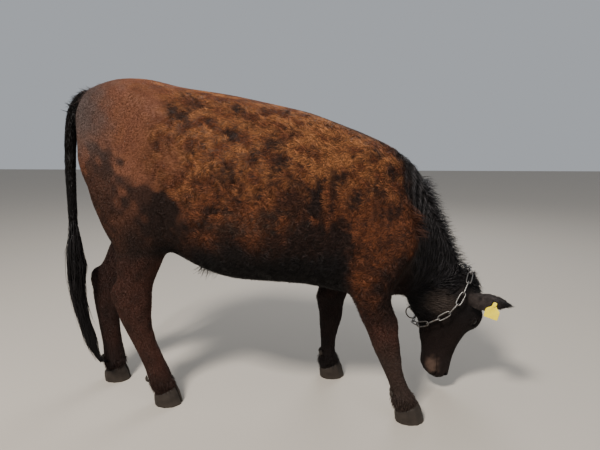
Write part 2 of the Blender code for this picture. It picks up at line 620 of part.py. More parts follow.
def make_tag(nodes):
    """A flap tag pinned through the lower edge of the right ear, with its button on the far face."""
    root, along, across, opening = ear_axes(RIGHT)
    low = across if across.z < 0 else -across
    ear = BVHTree.FromBMesh(bmesh_of(nodes["ear_right"]))
    pin = root + along * (EAR_LENGTH * TAG_PLACE) + low * TAG_DROP
    near, _, _, _ = ear.ray_cast(pin - opening * 0.06, opening)
    far, _, _, _ = ear.ray_cast(pin + opening * 0.06, -opening)
    axis = opening
    tilt = Vector((0, 0, 1)).rotation_difference(axis).to_matrix().to_4x4()
    depth = (far - near).length

    def disc(bm, radius, start, stop):
        bmesh.ops.create_cone(bm, cap_ends=True, segments=10, radius1=radius, radius2=radius, depth=stop - start,
                              matrix=Matrix.Translation(near + axis * (start + stop) / 2) @ tilt)

    hole = bmesh.new()
    disc(hole, 0.0038, -0.02, depth + 0.02)
    subtract(nodes["ear_right"], hole)
    facing = (TAG_FACING.normalized() * 0.6 - axis * 0.4).normalized()
    hang = TAG_HANG - facing * TAG_HANG.dot(facing)
    hang.normalize()
    wide = hang.cross(facing)
    start = near - axis * (0.0022 + TAG_THICKNESS / 2)
    bm = bmesh.new()
    add_loft(bm, [[start + wide * (a * TAG_WIDTH) + hang * b + facing * (side * TAG_THICKNESS / 2)
                   for a, b in TAG_OUTLINE] for side in (1, -1)])
    tag = nodes["ear_tag"] = mesh_object("ear_tag", bm)
    for radius, begin, end in ((0.0085, -0.0040, -0.0012), (0.0032, -0.0030, depth + 0.0030),
                               (0.0095, depth + 0.0012, depth + 0.0040)):
        bm = bmesh.new()
        disc(bm, radius, begin, end)
        knit(tag, mesh_object("stud", bm))
    subtract(nodes["ear_right"], bmesh_of(tag, GAP))


def knit(obj, other):
    """Fuses another object into this one."""
    join = obj.modifiers.new("join", "BOOLEAN")
    join.operation, join.solver, join.object, join.use_self = "UNION", "EXACT", other, True
    settle(obj)
    bpy.data.objects.remove(other)


# ---- tail and udder ------------------------------------------------------------------------------------------
def add_rope(bm, rows, count):
    """A round body along x, z stations at y = 0."""
    rows = smooth_rows(rows, 2)
    rings = []
    for i, (x, z, half) in enumerate(rows):
        before, after = rows[max(i - 1, 0)], rows[min(i + 1, len(rows) - 1)]
        along = Vector((after[0] - before[0], 0, after[1] - before[1])).normalized()
        side = Vector((0, 1, 0))
        rings.append(ring(Vector((x, 0, z)), side * half, along.cross(side) * half, 0, 2.0, count))
    add_loft(bm, rings)


def make_tail(nodes):
    bm = bmesh.new()
    add_rope(bm, TAIL, 9)
    nodes["tail"] = mesh_object("tail", bm)
    for name in ("trunk", "thigh_right", "thigh_left"):
        subtract(nodes["tail"], bmesh_of(nodes[name], GAP * 1.5))
    bm = bmesh.new()
    rows = [list(row) for row in SWITCH]
    rows[0][1] -= GAP
    add_rope(bm, rows, 9)
    nodes["tail_switch"] = mesh_object("tail_switch", bm)


def make_udder(nodes):
    bm = bmesh.new()
    add_mass(bm, (-0.385, 0, 0.690), (0.095, 0.060, 0.060), (0, 0, 0), 20, 12)
    for x in (-0.415, -0.355):
        for y in (-0.026, 0.026):
            add_mass(bm, (x, y, 0.630), (0.010, 0.010, 0.030), (0, 0, 0), 12, 8)
    udder = mesh_object("udder", bm)
    fuse = udder.modifiers.new("fuse", "REMESH")
    fuse.mode = "VOXEL"
    fuse.voxel_size = 0.004
    soft = udder.modifiers.new("soft", "SMOOTH")
    soft.iterations = 4
    fewer = udder.modifiers.new("fewer", "DECIMATE")
    fewer.ratio = 0.018
    settle(udder)
    nodes["udder"] = udder
    for name in ("trunk", "thigh_right", "thigh_left"):
        subtract(udder, bmesh_of(nodes[name], GAP * 1.5))


# ---- collar ----------------------------------------------------------------------------------------------------
def collar_path(tree):
    """Points of the chain's centre line round the neck, a little off the skin, and the loop's middle."""
    middle = (COLLAR_CREST + COLLAR_THROAT) / 2
    up = (COLLAR_CREST - COLLAR_THROAT).normalized()
    side = Vector((0, 1, 0))
    forward = side.cross(up)
    count = 120
    places, reaches = [], []
    for k in range(count):
        angle = 2 * math.pi * k / count
        sag = COLLAR_SAG - COLLAR_SKEW * math.sin(angle)
        centre = middle + forward * (sag * abs(math.sin(angle)) ** 1.5)
        way = up * math.cos(angle) + side * math.sin(angle)
        hit, _, _, _ = tree.ray_cast(centre + way * 0.40, -way, 0.40)
        places.append((centre, way))
        reaches.append((hit - centre).length)
    wide = np.array(reaches)
    for step in range(40):                      # a taut chain bridges hollows
        wide = np.maximum(wide, (np.roll(wide, 1) + np.roll(wide, -1)) / 2)
    for step in range(6):
        wide = (np.roll(wide, 1) + 2 * wide + np.roll(wide, -1)) / 4
    return [centre + way * (reach + LINK_WIDTH / 2) for (centre, way), reach in zip(places, wide)], middle


def clearance(bm, tree):
    """How far the nearest point of a body is from the skin; negative when it is inside."""
    least = 1.0
    for edge in bm.edges:
        start, stop = edge.verts[0].co, edge.verts[1].co
        for step in range(5):
            point = start.lerp(stop, step / 5)
            place, normal, _, distance = tree.find_nearest(point)
            if (point - place).dot(normal) < 0:
                distance = -distance
            least = min(least, distance)
    return least


def stadium_link(bm, centre, along, face, length):
    """One long link; it lies square to face, and length is clear inside."""
    across = face.cross(along)
    half = (length - LINK_WIDTH) / 2
    radius = LINK_WIDTH / 2 + WIRE
    rings = []
    for k in range(10):
        angle = math.pi * (k / 4) if k < 5 else math.pi * (1 + (k - 5) / 4)
        out = along * math.sin(angle) + across * math.cos(angle)
        place = centre + along * (half if k < 5 else -half) + out * radius
        rings.append([place + (out * math.cos(a) + face * math.sin(a)) * WIRE
                      for a in (2 * math.pi * (j + 0.5) / 4 for j in range(4))])
    add_hoop(bm, rings)


def add_hoop(bm, rings):
    """Skins a closed row of rings."""
    loops = [[bm.verts.new(p) for p in points] for points in rings]
    count = len(loops[0])
    for i, first in enumerate(loops):
        second = loops[(i + 1) % len(loops)]
        for k in range(count):
            j = (k + 1) % count
            bm.faces.new((first[k], first[j], second[j], second[k]))


def collar_link(stops, i, middle):
    """A link between two neighbouring stops, with its centre, its run and the way its flat side faces."""
    start, stop = stops[i], stops[(i + 1) % len(stops)]
    along = (stop - start).normalized()
    centre = (start + stop) / 2
    out = centre - middle
    out = (out - along * out.dot(along)).normalized()
    face = Matrix.Rotation(math.radians(45 if i % 2 else -45), 3, along) @ out
    bm = bmesh.new()
    stadium_link(bm, centre, along, face, (stop - start).length + LINK_PLAY)
    return bm, centre, along, face


def make_collar(nodes, skin):
    wrapped = bmesh.new()
    for name in ("neck", "head"):
        wrapped.from_mesh(nodes[name].data)
    path, middle = collar_path(BVHTree.FromBMesh(wrapped))
    tree = BVHTree.FromBMesh(skin)
    loop = np.array([tuple(p) for p in path])
    length = np.linalg.norm(loop - np.roll(loop, -1, axis=0), axis=1).sum()
    number = int(round(length / LINK_LENGTH / 2)) * 2
    stops = chord_walk(path, number)
    for attempt in range(20):                   # links are lifted until none touches the skin
        lift = [0.0] * number
        for i in range(number):
            bm, _, _, _ = collar_link(stops, i, middle)
            short = CHAIN_CLEAR - clearance(bm, tree)
            for end in (i, (i + 1) % number):
                lift[end] = max(lift[end], short)
        lift = [max(lift[i], 0.6 * lift[i - 1], 0.6 * lift[(i + 1) % number]) for i in range(number)]
        stops = [p + (p - middle).normalized() * min(rise, 0.002) for p, rise in zip(stops, lift)]
    lowest = []
    for i in range(number):
        bm, centre, along, face = collar_link(stops, i, middle)
        name = f"collar_link_{i + 1:02d}"
        nodes[name] = mesh_object(name, bm)
        if abs(i - number / 2) < 1.5:
            lowest.append((abs(face.z), centre, along, face))
    _, hook, along, face = min(lowest, key=lambda row: row[0])
    nodes["collar_ring"] = collar_ring(hook, along, face, (hook - middle).normalized(), tree)


def collar_ring(hook, along, face, out, tree):
    """The loose ring on a link under the throat; it leans away from the neck until it is clear."""
    thread = (face * math.cos(math.radians(RING_TWIST)) + along * math.sin(math.radians(RING_TWIST))).normalized()
    for lean in range(0, 180, 5):
        rise = Vector((0, 0, 1)) * math.cos(math.radians(lean)) + out * math.sin(math.radians(lean))
        rise = (rise - thread * rise.dot(thread)).normalized()
        side = rise.cross(thread)
        rings = []
        for k in range(14):
            angle = 2 * math.pi * k / 14
            away = thread * math.sin(angle) - rise * math.cos(angle)
            place = hook + (rise + away) * RING_RADIUS
            rings.append([place + (away * math.cos(a) + side * math.sin(a)) * WIRE
                          for a in (2 * math.pi * (j + 0.5) / 4 for j in range(4))])
        bm = bmesh.new()
        add_hoop(bm, rings)
        if clearance(bm, tree) > CHAIN_CLEAR:
            print("ring leans", lean)
            return mesh_object("collar_ring", bm)
    raise ValueError("the ring finds no room")


def chord_walk(loop, number):
    """Points at equal steps along a closed loop."""
    points = np.array([tuple(p) for p in loop] + [tuple(loop[0])])
    steps = np.linalg.norm(np.diff(points, axis=0), axis=1)
    reach = np.concatenate([[0], np.cumsum(steps)])
    at = np.arange(number) * reach[-1] / number
    return [Vector([float(np.interp(a, reach, points[:, k])) for k in range(3)]) for a in at]


# ---- finish -----------------------------------------------------------------------------------------------------
def paint(nodes):
    """One plain material per kind of surface."""
    made = {}
    for name, (colour, rough, metal) in COLOURS.items():
        material = bpy.data.materials.new(name)
        material.use_nodes = True
        shader = material.node_tree.nodes["Principled BSDF"]
        shader.inputs["Base Color"].default_value = (*colour, 1)
        shader.inputs["Roughness"].default_value = rough
        shader.inputs["Metallic"].default_value = metal
        made[name] = material
    for name, obj in nodes.items():
        kind = "coat"
        if "claw" in name:
            kind = "horn"
        elif name.startswith("collar"):
            kind = "steel"
        elif name.startswith("eye"):
            kind = "eye"
        elif name == "ear_tag":
            kind = "tag"
        elif name == "udder":
            kind = "skin"
        elif name.startswith(("tail", "neck", "head", "ear")) or name.endswith("_lower"):
            kind = "dark_coat"
        obj.data.materials.clear()
        obj.data.materials.append(made[kind])
        smooth = not ("claw" in name and "dew" not in name) and kind != "tag"
        for face in obj.data.polygons:
            face.use_smooth = smooth


def centre_on_floor(nodes):
    """Moves everything so that the origin is on the floor under the middle of the whole."""
    points = np.array([tuple(v.co) for obj in nodes.values() for v in obj.data.vertices])
    low, high = points.min(axis=0), points.max(axis=0)
    shift = Vector((-(low[0] + high[0]) / 2, -(low[1] + high[1]) / 2, -low[2]))
    cow = bpy.data.collections.new("cow")
    bpy.context.scene.collection.children.link(cow)
    for obj in nodes.values():
        obj.data.transform(Matrix.Translation(shift))
        bpy.context.scene.collection.objects.unlink(obj)
        cow.objects.link(obj)
    print("moved by", [round(v, 5) for v in shift], "size", [round(v, 4) for v in high - low])


def main():
    for obj in list(bpy.data.objects):
        bpy.data.objects.remove(obj)
    flesh = make_flesh()
    thin(flesh)
    skin = bmesh_of(flesh)
    nodes = part_flesh(flesh)
    make_claws(nodes)
    make_dewclaws(nodes)
    make_tail(nodes)
    make_udder(nodes)
    make_ears(nodes)
    make_eyes(nodes)
    make_tag(nodes)
    make_collar(nodes, skin)
    paint(nodes)
    centre_on_floor(nodes)


main()
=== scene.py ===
# A young dark cow grazing: skin, coat, hooves, eyes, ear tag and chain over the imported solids.
import math

import bmesh
import bpy
import numpy as np
from mathutils import Matrix, Vector
from mathutils.bvhtree import BVHTree
from mathutils.kdtree import KDTree


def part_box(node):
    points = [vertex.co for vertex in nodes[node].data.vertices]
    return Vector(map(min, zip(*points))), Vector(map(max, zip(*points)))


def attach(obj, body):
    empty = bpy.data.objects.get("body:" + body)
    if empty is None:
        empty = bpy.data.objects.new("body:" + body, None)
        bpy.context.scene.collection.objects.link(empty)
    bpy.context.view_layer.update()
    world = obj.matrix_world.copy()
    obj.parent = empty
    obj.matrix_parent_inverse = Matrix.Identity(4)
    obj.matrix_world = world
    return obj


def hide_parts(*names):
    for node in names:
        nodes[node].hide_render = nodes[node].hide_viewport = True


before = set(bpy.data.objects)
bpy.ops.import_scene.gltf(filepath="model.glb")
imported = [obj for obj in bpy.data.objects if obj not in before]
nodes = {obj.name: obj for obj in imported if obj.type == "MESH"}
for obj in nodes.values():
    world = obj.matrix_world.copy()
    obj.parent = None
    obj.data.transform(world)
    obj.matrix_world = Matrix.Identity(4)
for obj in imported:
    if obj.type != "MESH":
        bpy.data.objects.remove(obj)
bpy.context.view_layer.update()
draw = np.random.default_rng(11)
print("stage: frame loaded")

legs = [pair + "_leg_" + side for pair in ("fore", "hind") for side in ("right", "left")]
skinRegions = {
    "trunk": ["trunk"], "thigh": ["thigh_right", "thigh_left"], "neck": ["neck"], "head": ["head"],
    "leg": [name + "_upper" for name in legs], "shank": [name + "_lower" for name in legs],
    "tail": ["tail"], "udder": ["udder"], "ear": ["ear_right", "ear_left"],
}
regionNames = list(skinRegions)
skinNodes = [name for names in skinRegions.values() for name in names]
sideNames = {-1: "right", 1: "left"}


# ---------- small helpers ----------
def linkObject(name, mesh):
    obj = bpy.data.objects.new(name, mesh)
    bpy.context.scene.collection.objects.link(obj)
    return obj


def shade(mesh, smooth=True):
    mesh.polygons.foreach_set("use_smooth", np.full(len(mesh.polygons), smooth))


def fromBmesh(name, bm, smooth=True):
    mesh = bpy.data.meshes.new(name)
    bm.to_mesh(mesh)
    bm.free()
    shade(mesh, smooth)
    return linkObject(name, mesh)


def bakeModifiers(obj):
    bpy.context.view_layer.update()
    done = bpy.data.meshes.new_from_object(obj.evaluated_get(bpy.context.evaluated_depsgraph_get()))
    obj.modifiers.clear()
    old = obj.data
    obj.data = done
    bpy.data.meshes.remove(old)


def grab(items, key, width, kind=np.float32):
    flat = np.empty(len(items) * width, kind)
    items.foreach_get(key, flat)
    return flat.reshape(-1, width)


def coords(mesh):
    return grab(mesh.vertices, "co", 3).astype(float)


def normals(mesh):
    return grab(mesh.vertex_normals, "vector", 3).astype(float)


def putCoords(mesh, points):
    mesh.vertices.foreach_set("co", points.astype(np.float32).ravel())
    mesh.update()


def edgePairs(mesh):
    return grab(mesh.edges, "vertices", 2, np.int32)


def copied(*names, within=0.00003):
    # the solids of some nodes, with their doubled points joined
    bm = bmesh.new()
    for name in names:
        bm.from_mesh(nodes[name].data)
    bmesh.ops.remove_doubles(bm, verts=bm.verts, dist=within)
    return bm


def fused(name, bm, voxel):
    obj = fromBmesh(name, bm)
    remesh = obj.modifiers.new("fuse", "REMESH")
    remesh.mode, remesh.voxel_size = "VOXEL", voxel
    bakeModifiers(obj)
    return obj


def relax(values, edges, passes, weight=0.5):
    # averages each point with its neighbours; weight may differ from point to point
    count = np.bincount(edges.ravel(), minlength=len(values)).astype(float)[:, None]
    weight = np.broadcast_to(np.asarray(weight, float).reshape(-1, 1), (len(values), 1))
    for step in range(passes):
        total = np.empty_like(values)
        for k in range(values.shape[1]):
            total[:, k] = (np.bincount(edges[:, 0], values[edges[:, 1], k], len(values))
                           + np.bincount(edges[:, 1], values[edges[:, 0], k], len(values)))
        values = values + weight * (total / np.maximum(count, 1) - values)
    return values


def unit(vectors):
    return vectors / np.maximum(np.linalg.norm(vectors, axis=1), 1e-9)[:, None]


def ease(x, low, high):
    t = np.clip((x - low) / (high - low), 0, 1)
    return t * t * (3 - 2 * t)


def waves(points, size, seed, count=14):
    # a smooth random field, about -1 to 1, with bumps of the given size
    made = np.random.default_rng(seed)
    ways = made.normal(size=(count, 3))
    ways *= (2 * math.pi / size / np.linalg.norm(ways, axis=1) * made.uniform(0.6, 1.5, count))[:, None]
    return np.sin(points @ ways.T + made.uniform(0, 2 * math.pi, count)).sum(1) / math.sqrt(count) * 0.9


def boxMiddle(name):
    low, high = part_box(name)
    return (Vector(low) + Vector(high)) / 2


def partsOf(weights):
    # how much of each region there is at the points
    return {name: weights[:, index] for index, name in enumerate(regionNames)}


# ---------- places on the body are given from the middle of the trunk, heights from the floor ----------
bodyAt = np.array(boxMiddle("trunk")) * (1, 1, 0)

# ---------- the head's own axes: +X poll to muzzle, +Y left, +Z brow ----------
headPlan = {"pitch": 105, "yaw": 15, "eye": (0.163, 0.082, 0.021), "eyeRadius": 0.0175,
            "earRoot": (0.089, 0.056, -0.004), "earAlong": (-0.178, 0.965, 0.190),
            "earOpening": (0.49, -0.115, 0.866), "earLength": 0.222}
headTurn = Matrix.Rotation(math.radians(headPlan["yaw"]), 3, "Z") @ Matrix.Rotation(
    math.radians(headPlan["pitch"]), 3, "Y")
eyeMiddle = (boxMiddle("eye_right") + boxMiddle("eye_left")) / 2
headOrigin = eyeMiddle - headTurn @ Vector((headPlan["eye"][0], 0, headPlan["eye"][2]))
headAxes = np.array(headTurn)
headAt = np.array(headOrigin)


def toHead(points):
    return (points - headAt) @ headAxes


def fromHead(points):
    return points @ headAxes.T + headAt


def earAxes(side):
    # root, the way out to the tip and the way that the hollow faces, in the head's axes
    along = np.array(headPlan["earAlong"]) * (1, side, 1)
    along /= np.linalg.norm(along)
    opening = np.array(headPlan["earOpening"]) * (1, side, 1)
    opening -= along * opening.dot(along)
    return np.array(headPlan["earRoot"]) * (1, side, 1), along, opening / np.linalg.norm(opening)


# ---------- skin ----------
skinPlan = {
    "voxel": 0.0085, "swell": 0.0007, "passes": 60,
    "softness": {"trunk": 1.0, "thigh": 0.45, "neck": 0.40, "head": 0.10, "leg": 0.14, "shank": 0.08,
                 "tail": 0.05, "udder": 0.12, "ear": 0.10},
    "coatDepth": {"trunk": 0.0050, "thigh": 0.0035, "neck": 0.006, "head": 0.0022, "leg": 0.003,
                  "shank": 0.002, "tail": 0.003, "udder": 0.001, "ear": 0.0022},
}


def fusedFlesh():
    bm = copied(*[name for name in skinNodes if name not in skinRegions["ear"]])
    bm.normal_update()
    for vert in bm.verts:
        vert.co += vert.normal * skinPlan["swell"]
    return fused("skin", bm, skinPlan["voxel"])


earSkin = {"voxel": 0.0024, "passes": 7, "inset": 0.0006, "rootPush": 0.013, "rootReach": 0.0015}


def earBlades():
    # both ears as fine smooth blades, with their roots pushed on into the head
    head = bmesh.new()
    head.from_mesh(nodes["head"].data)
    headTree = BVHTree.FromBMesh(head)
    bm = copied(*skinRegions["ear"])
    for vert in bm.verts:
        place, normal, face, far = headTree.find_nearest(vert.co)
        if far < earSkin["rootReach"]:
            vert.co -= normal * earSkin["rootPush"]
    obj = fused("ears", bm, earSkin["voxel"])
    putCoords(obj.data, relax(coords(obj.data), edgePairs(obj.data), earSkin["passes"]))
    putCoords(obj.data, coords(obj.data) - normals(obj.data) * earSkin["inset"])
    return obj


def addEars(skin):
    ears = earBlades()
    join = skin.modifiers.new("ears", "BOOLEAN")
    join.operation, join.solver, join.object = "UNION", "MANIFOLD", ears
    bakeModifiers(skin)
    bpy.data.objects.remove(ears)
    # the join is softened into a fold
    points = coords(skin.data)
    head = toHead(points)
    soft = np.zeros(len(points))
    for side in sideNames:
        root, along, opening = earAxes(side)
        local = head - root
        reach = local @ along
        wide = np.linalg.norm(local - np.outer(reach, along), axis=1)
        near = (1 - ease(np.abs(reach - 0.022), 0.012, 0.026)) * (1 - ease(wide, 0.045, 0.07))
        soft = np.maximum(soft, near)
    putCoords(skin.data, relax(points, edgePairs(skin.data), 5, 0.5 * soft))


def regionTree():
    points, faces, owners = [], [], []
    for index, region in enumerate(regionNames):
        for name in skinRegions[region]:
            mesh = nodes[name].data
            start = len(points)
            points += [v.co.copy() for v in mesh.vertices]
            for face in mesh.polygons:
                faces.append([start + i for i in face.vertices])
                owners.append(index)
    return BVHTree.FromPolygons(points, faces), owners


def regionWeights(mesh, passes):
    tree, owners = regionTree()
    weights = np.zeros((len(mesh.vertices), len(regionNames)))
    for i, vert in enumerate(mesh.vertices):
        weights[i, owners[tree.find_nearest(vert.co)[2]]] = 1
    return relax(weights, edgePairs(mesh), passes)


def mixed(weights, table):
    return weights @ np.array([table[name] for name in regionNames])


facePlan = {
    # centre in the head's axes, reach along them, rise off the skin; each is made on both sides
    "nostril rim": ((0.420, 0.040, 0.015), (0.019, 0.016, 0.010), 0.0055),
    "nostril wing": ((0.394, 0.046, 0.000), (0.012, 0.012, 0.014), 0.0040),
    "nostril floor": ((0.412, 0.044, -0.013), (0.016, 0.014, 0.006), 0.0030),
    "upper lip": ((0.398, 0.046, -0.030), (0.040, 0.020, 0.009), 0.0045),
    "lower lip": ((0.396, 0.034, -0.058), (0.036, 0.026, 0.009), 0.0035),
    "chin": ((0.385, 0.016, -0.078), (0.026, 0.020, 0.014), 0.0040),
    "cheek bone": ((0.235, 0.066, -0.002), (0.075, 0.022, 0.013), 0.0035),
    "brow": ((0.142, 0.078, 0.050), (0.030, 0.020, 0.013), 0.0045),
    "temple": ((0.092, 0.066, 0.026), (0.028, 0.020, 0.020), -0.0055),
    "jaw muscle": ((0.115, 0.074, -0.095), (0.060, 0.030, 0.055), 0.0060),
    "jaw edge": ((0.215, 0.050, -0.095), (0.070, 0.030, 0.014), -0.0045),
    "cheek hollow": ((0.265, 0.055, -0.050), (0.050, 0.022, 0.026), -0.0040),
    "nose side": ((0.310, 0.044, 0.004), (0.060, 0.020, 0.018), -0.0040),
    "nose ridge": ((0.300, 0.016, 0.046), (0.090, 0.014, 0.014), 0.0025),
}
nostrilPlan = {"at": (0.416, 0.0440, 0.002), "reach": (0.0155, 0.0170, 0.0078), "deep": 0.019,
               "into": (-0.45, -0.88, -0.10), "tilt": 40, "tail": 0.50}
mouthPlan = {"front": 0.452, "corner": 0.338, "height": -0.041, "drop": 0.012, "bow": 0.0035,
             "wide": 0.0019, "deep": 0.0042, "folds": 3, "foldDeep": 0.0014, "foldGap": 0.013}
philtrumPlan = {"wide": 0.003, "deep": 0.002}
# the crease between the jaw and the neck, along and up in the head's axes
jawCrease = {"line": [(0.051, -0.207), (0.068, -0.178), (0.082, -0.147), (0.083, -0.116), (0.074, -0.083),
                      (0.050, -0.055)], "wide": 0.0075, "deep": 0.0055}


def falloff(points, centre, reach):
    far = np.linalg.norm((points - np.array(centre)) / np.array(reach), axis=1)
    return ease(1 - far / 1.6, 0, 1)


def sculptFace(points, outward):
    # points and outward directions are in the head's axes
    points = points.copy()
    for centre, reach, rise in facePlan.values():
        for side in (1, -1):
            at = (centre[0], side * centre[1], centre[2])
            points += outward * (rise * falloff(points, at, reach))[:, None]
    # mouth: a groove that drops a little from the front to the corner
    run = np.clip((mouthPlan["front"] - points[:, 0]) / (mouthPlan["front"] - mouthPlan["corner"]), 0, 1)
    line = mouthPlan["height"] - mouthPlan["drop"] * run + mouthPlan["bow"] * np.sin(run * math.pi * 1.5)
    slot = np.exp(-((points[:, 2] - line) / mouthPlan["wide"]) ** 2)
    slot *= ease(points[:, 0], mouthPlan["corner"] - 0.006, mouthPlan["corner"] + 0.020)
    points -= outward * (mouthPlan["deep"] * slot)[:, None]
    # short folds above the mouth's corner
    for index in range(mouthPlan["folds"]):
        start = 0.330 - mouthPlan["foldGap"] * index
        fold = np.exp(-((points[:, 0] - start - 0.5 * (points[:, 2] + 0.045)) / 0.0032) ** 2)
        fold *= ease(points[:, 2], -0.068, -0.054) * (1 - ease(points[:, 2], -0.034, -0.018))
        points -= outward * (mouthPlan["foldDeep"] * fold)[:, None]
    # nostrils: pushed in along their own way
    for side in (1, -1):
        tilt = math.radians(nostrilPlan["tilt"])
        local = points - nostrilAt(side)
        along = local[:, 0] * math.cos(tilt) + local[:, 2] * math.sin(tilt)
        across = -local[:, 0] * math.sin(tilt) + local[:, 2] * math.cos(tilt)
        reach = nostrilPlan["reach"]
        # a comma: round in front, drawn out and bent behind
        across = across - nostrilPlan["tail"] * np.minimum(along, 0) ** 2 / reach[0]
        far = np.sqrt((along / reach[0]) ** 2 + (local[:, 1] / reach[1]) ** 2 + (across / reach[2]) ** 2)
        push = np.array(nostrilPlan["into"]) * (1, side, 1)
        points += push * (nostrilPlan["deep"] * ease(1 - far / 1.25, 0, 0.75))[:, None]
    groove = np.exp(-(points[:, 1] / philtrumPlan["wide"]) ** 2) * ease(points[:, 0], 0.420, 0.432)
    groove *= ease(points[:, 2], -0.038, -0.028) * (1 - ease(points[:, 2], -0.006, 0.006))
    points -= outward * (philtrumPlan["deep"] * groove)[:, None]
    return points


def creaseShare(head):
    # 1 along the crease behind the jaw
    far = np.full(len(head), 1.0)
    line = np.array(jawCrease["line"])
    for start, stop in zip(line[:-1], line[1:]):
        run = np.clip(((head[:, [0, 2]] - start) @ (stop - start)) / ((stop - start) @ (stop - start)), 0, 1)
        far = np.minimum(far, np.linalg.norm(head[:, [0, 2]] - start - run[:, None] * (stop - start), axis=1))
    return np.exp(-(far / jawCrease["wide"]) ** 2) * ease(np.abs(head[:, 1]), 0.035, 0.06)


lidPlan = {"gap": 0.0004, "thick": 0.0020, "long": 0.0148, "high": 0.0092, "tilt": 14,
           "lean": (0.10, 1.0, 0.16), "orbit": 0.52, "skirt": 2.5, "fold": 0.0016,
           "order": (1.0, 3.1, 7.7)}


def eyeAxes(side):
    # centre, outward way, and the long and the short way of the eye's opening, in the head's axes
    centre = np.array(toHead(np.array([boxMiddle("eye_left" if side > 0 else "eye_right")]))[0])
    lean = np.array(lidPlan["lean"]) * (1, side, 1)
    out = lean / np.linalg.norm(lean)
    tilt = math.radians(lidPlan["tilt"])
    long = np.array((math.cos(tilt), 0, -math.sin(tilt)))
    long -= out * long.dot(out)
    long /= np.linalg.norm(long)
    return centre, out, long, np.cross(out, long) * side


def fromEye(centre):
    # from an eye's own place to the world
    return Matrix.Translation(headOrigin) @ headTurn.to_4x4() @ Matrix.Translation(Vector(centre))


def almond(local, out, long, high):
    # below 1 inside the opening of the lids
    a = local @ long / lidPlan["long"]
    b = local @ high / lidPlan["high"]
    return np.where(local @ out > 0, np.sqrt(np.abs(a) ** 2.0 + np.abs(b) ** 1.7), 9.0)


def hugEyes(points):
    # the skin rises round each eye into an orbit, closes on the ball and is folded over it
    radius = headPlan["eyeRadius"]
    for side in sideNames:
        centre, out, long, high = eyeAxes(side)
        local = points - centre
        height = local @ out
        wide = np.linalg.norm(local - np.outer(height, out), axis=1)
        raised = lidPlan["orbit"] * radius * (1 - ease(wide / radius, 0.5, lidPlan["skirt"]))
        lift = np.where(height > -1.4 * radius, np.maximum(raised - height, 0), 0)
        lift = lift * (wide < lidPlan["skirt"] * radius)
        points = points + lift[:, None] * out
        local = points - centre
        slit = almond(local, out, long, high)
        far = np.linalg.norm(local, axis=1)
        near = far < radius * 1.8
        inside = near & (slit < 1.12)
        rim = near & ~inside & (local @ out > -0.2 * radius)
        points[inside] = centre + local[inside] * (radius * 0.70 / far[inside])[:, None]
        cover = lidPlan["gap"] + lidPlan["thick"] * (0.55 + 0.60 * ease(slit[rim], 1.12, 1.45))
        reach = np.maximum(far[rim], radius + cover)
        points[rim] = centre + local[rim] * (reach / far[rim])[:, None]
        up = local @ high > 0
        fold = np.where(up, np.exp(-((slit - 1.62) / 0.10) ** 2), 0.6 * np.exp(-((slit - 1.75) / 0.10) ** 2))
        points -= (lidPlan["fold"] * fold * near)[:, None] * out
    return points


def addLids(bm):
    radius = headPlan["eyeRadius"] + lidPlan["gap"]
    for side in (1, -1):
        centre, out, long, high = eyeAxes(side)
        shell = bmesh.new()
        bmesh.ops.create_uvsphere(shell, u_segments=56, v_segments=36, radius=radius)
        turn = Matrix((long, high * side, out)).transposed()
        if turn.determinant() < 0:
            turn = Matrix((long, -high * side, out)).transposed()
        bmesh.ops.transform(shell, matrix=turn.to_4x4(), verts=shell.verts)
        gone = []
        for vert in shell.verts:
            local = np.array([vert.co])
            if almond(local, out, long, high)[0] < 1.0 or vert.co.dot(Vector(out)) < -0.1 * radius:
                gone.append(vert)
        bmesh.ops.delete(shell, geom=gone, context="VERTS")
        bmesh.ops.recalc_face_normals(shell, faces=shell.faces)
        bmesh.ops.solidify(shell, geom=shell.faces[:], thickness=-lidPlan["thick"])
        bmesh.ops.recalc_face_normals(shell, faces=shell.faces)
        bmesh.ops.transform(shell, matrix=fromEye(centre), verts=shell.verts)
        # solidify leaves its parts in any order, and hair is sown in the order of the faces
        shell.verts.sort(key=lambda vert: vert.co.dot(lidPlan["order"]))
        shell.faces.sort(key=lambda face: face.calc_center_median().dot(lidPlan["order"]))
        carried = bpy.data.meshes.new("lids")
        shell.to_mesh(carried)
        shell.free()
        bm.from_mesh(carried)
        bpy.data.meshes.remove(carried)


def refine(mesh, wanted):
    # splits the faces whose corners are all wanted
    bm = bmesh.new()
    bm.from_mesh(mesh)
    bm.verts.ensure_lookup_table()
    faces = {face for face in bm.faces if all(wanted[v.index] for v in face.verts)}
    edges = [edge for edge in bm.edges if faces.intersection(edge.link_faces)]
    bmesh.ops.subdivide_edges(bm, edges=edges, cuts=1, use_grid_fill=True)
    bmesh.ops.recalc_face_normals(bm, faces=bm.faces)
    bm.to_mesh(mesh)
    bm.free()


def refined(mesh, points, mask, passes, wider=None):
    # puts the points in place, splits the faces that the mask takes, and gives the points smoothed there
    putCoords(mesh, points)
    refine(mesh, mask(points))
    points = coords(mesh)
    return relax(points, edgePairs(mesh), passes, 0.5 * (wider or mask)(points))


def headMask(points, margin=0):
    head = toHead(points)
    return (head[:, 0] > -0.02 - margin) & (head[:, 0] < 0.5) & (np.abs(head[:, 1]) < 0.14) & (
        head[:, 2] > -0.19) & (head[:, 2] < 0.12)


def nearEither(head, place, reach):
    # within reach of a place on either side of the head; place is worked out from the side
    near = np.zeros(len(head), bool)
    for side in sideNames:
        near |= np.linalg.norm(head - place(side), axis=1) < reach
    return near


def eyeAt(side):
    return eyeAxes(side)[0]


def nostrilAt(side):
    return np.array(nostrilPlan["at"]) * (1, side, 1)


def fineMask(points):
    # the eyes and the muzzle
    head = toHead(points)
    return nearEither(head, eyeAt, 0.030) | (headMask(points) & (head[:, 0] > 0.345))


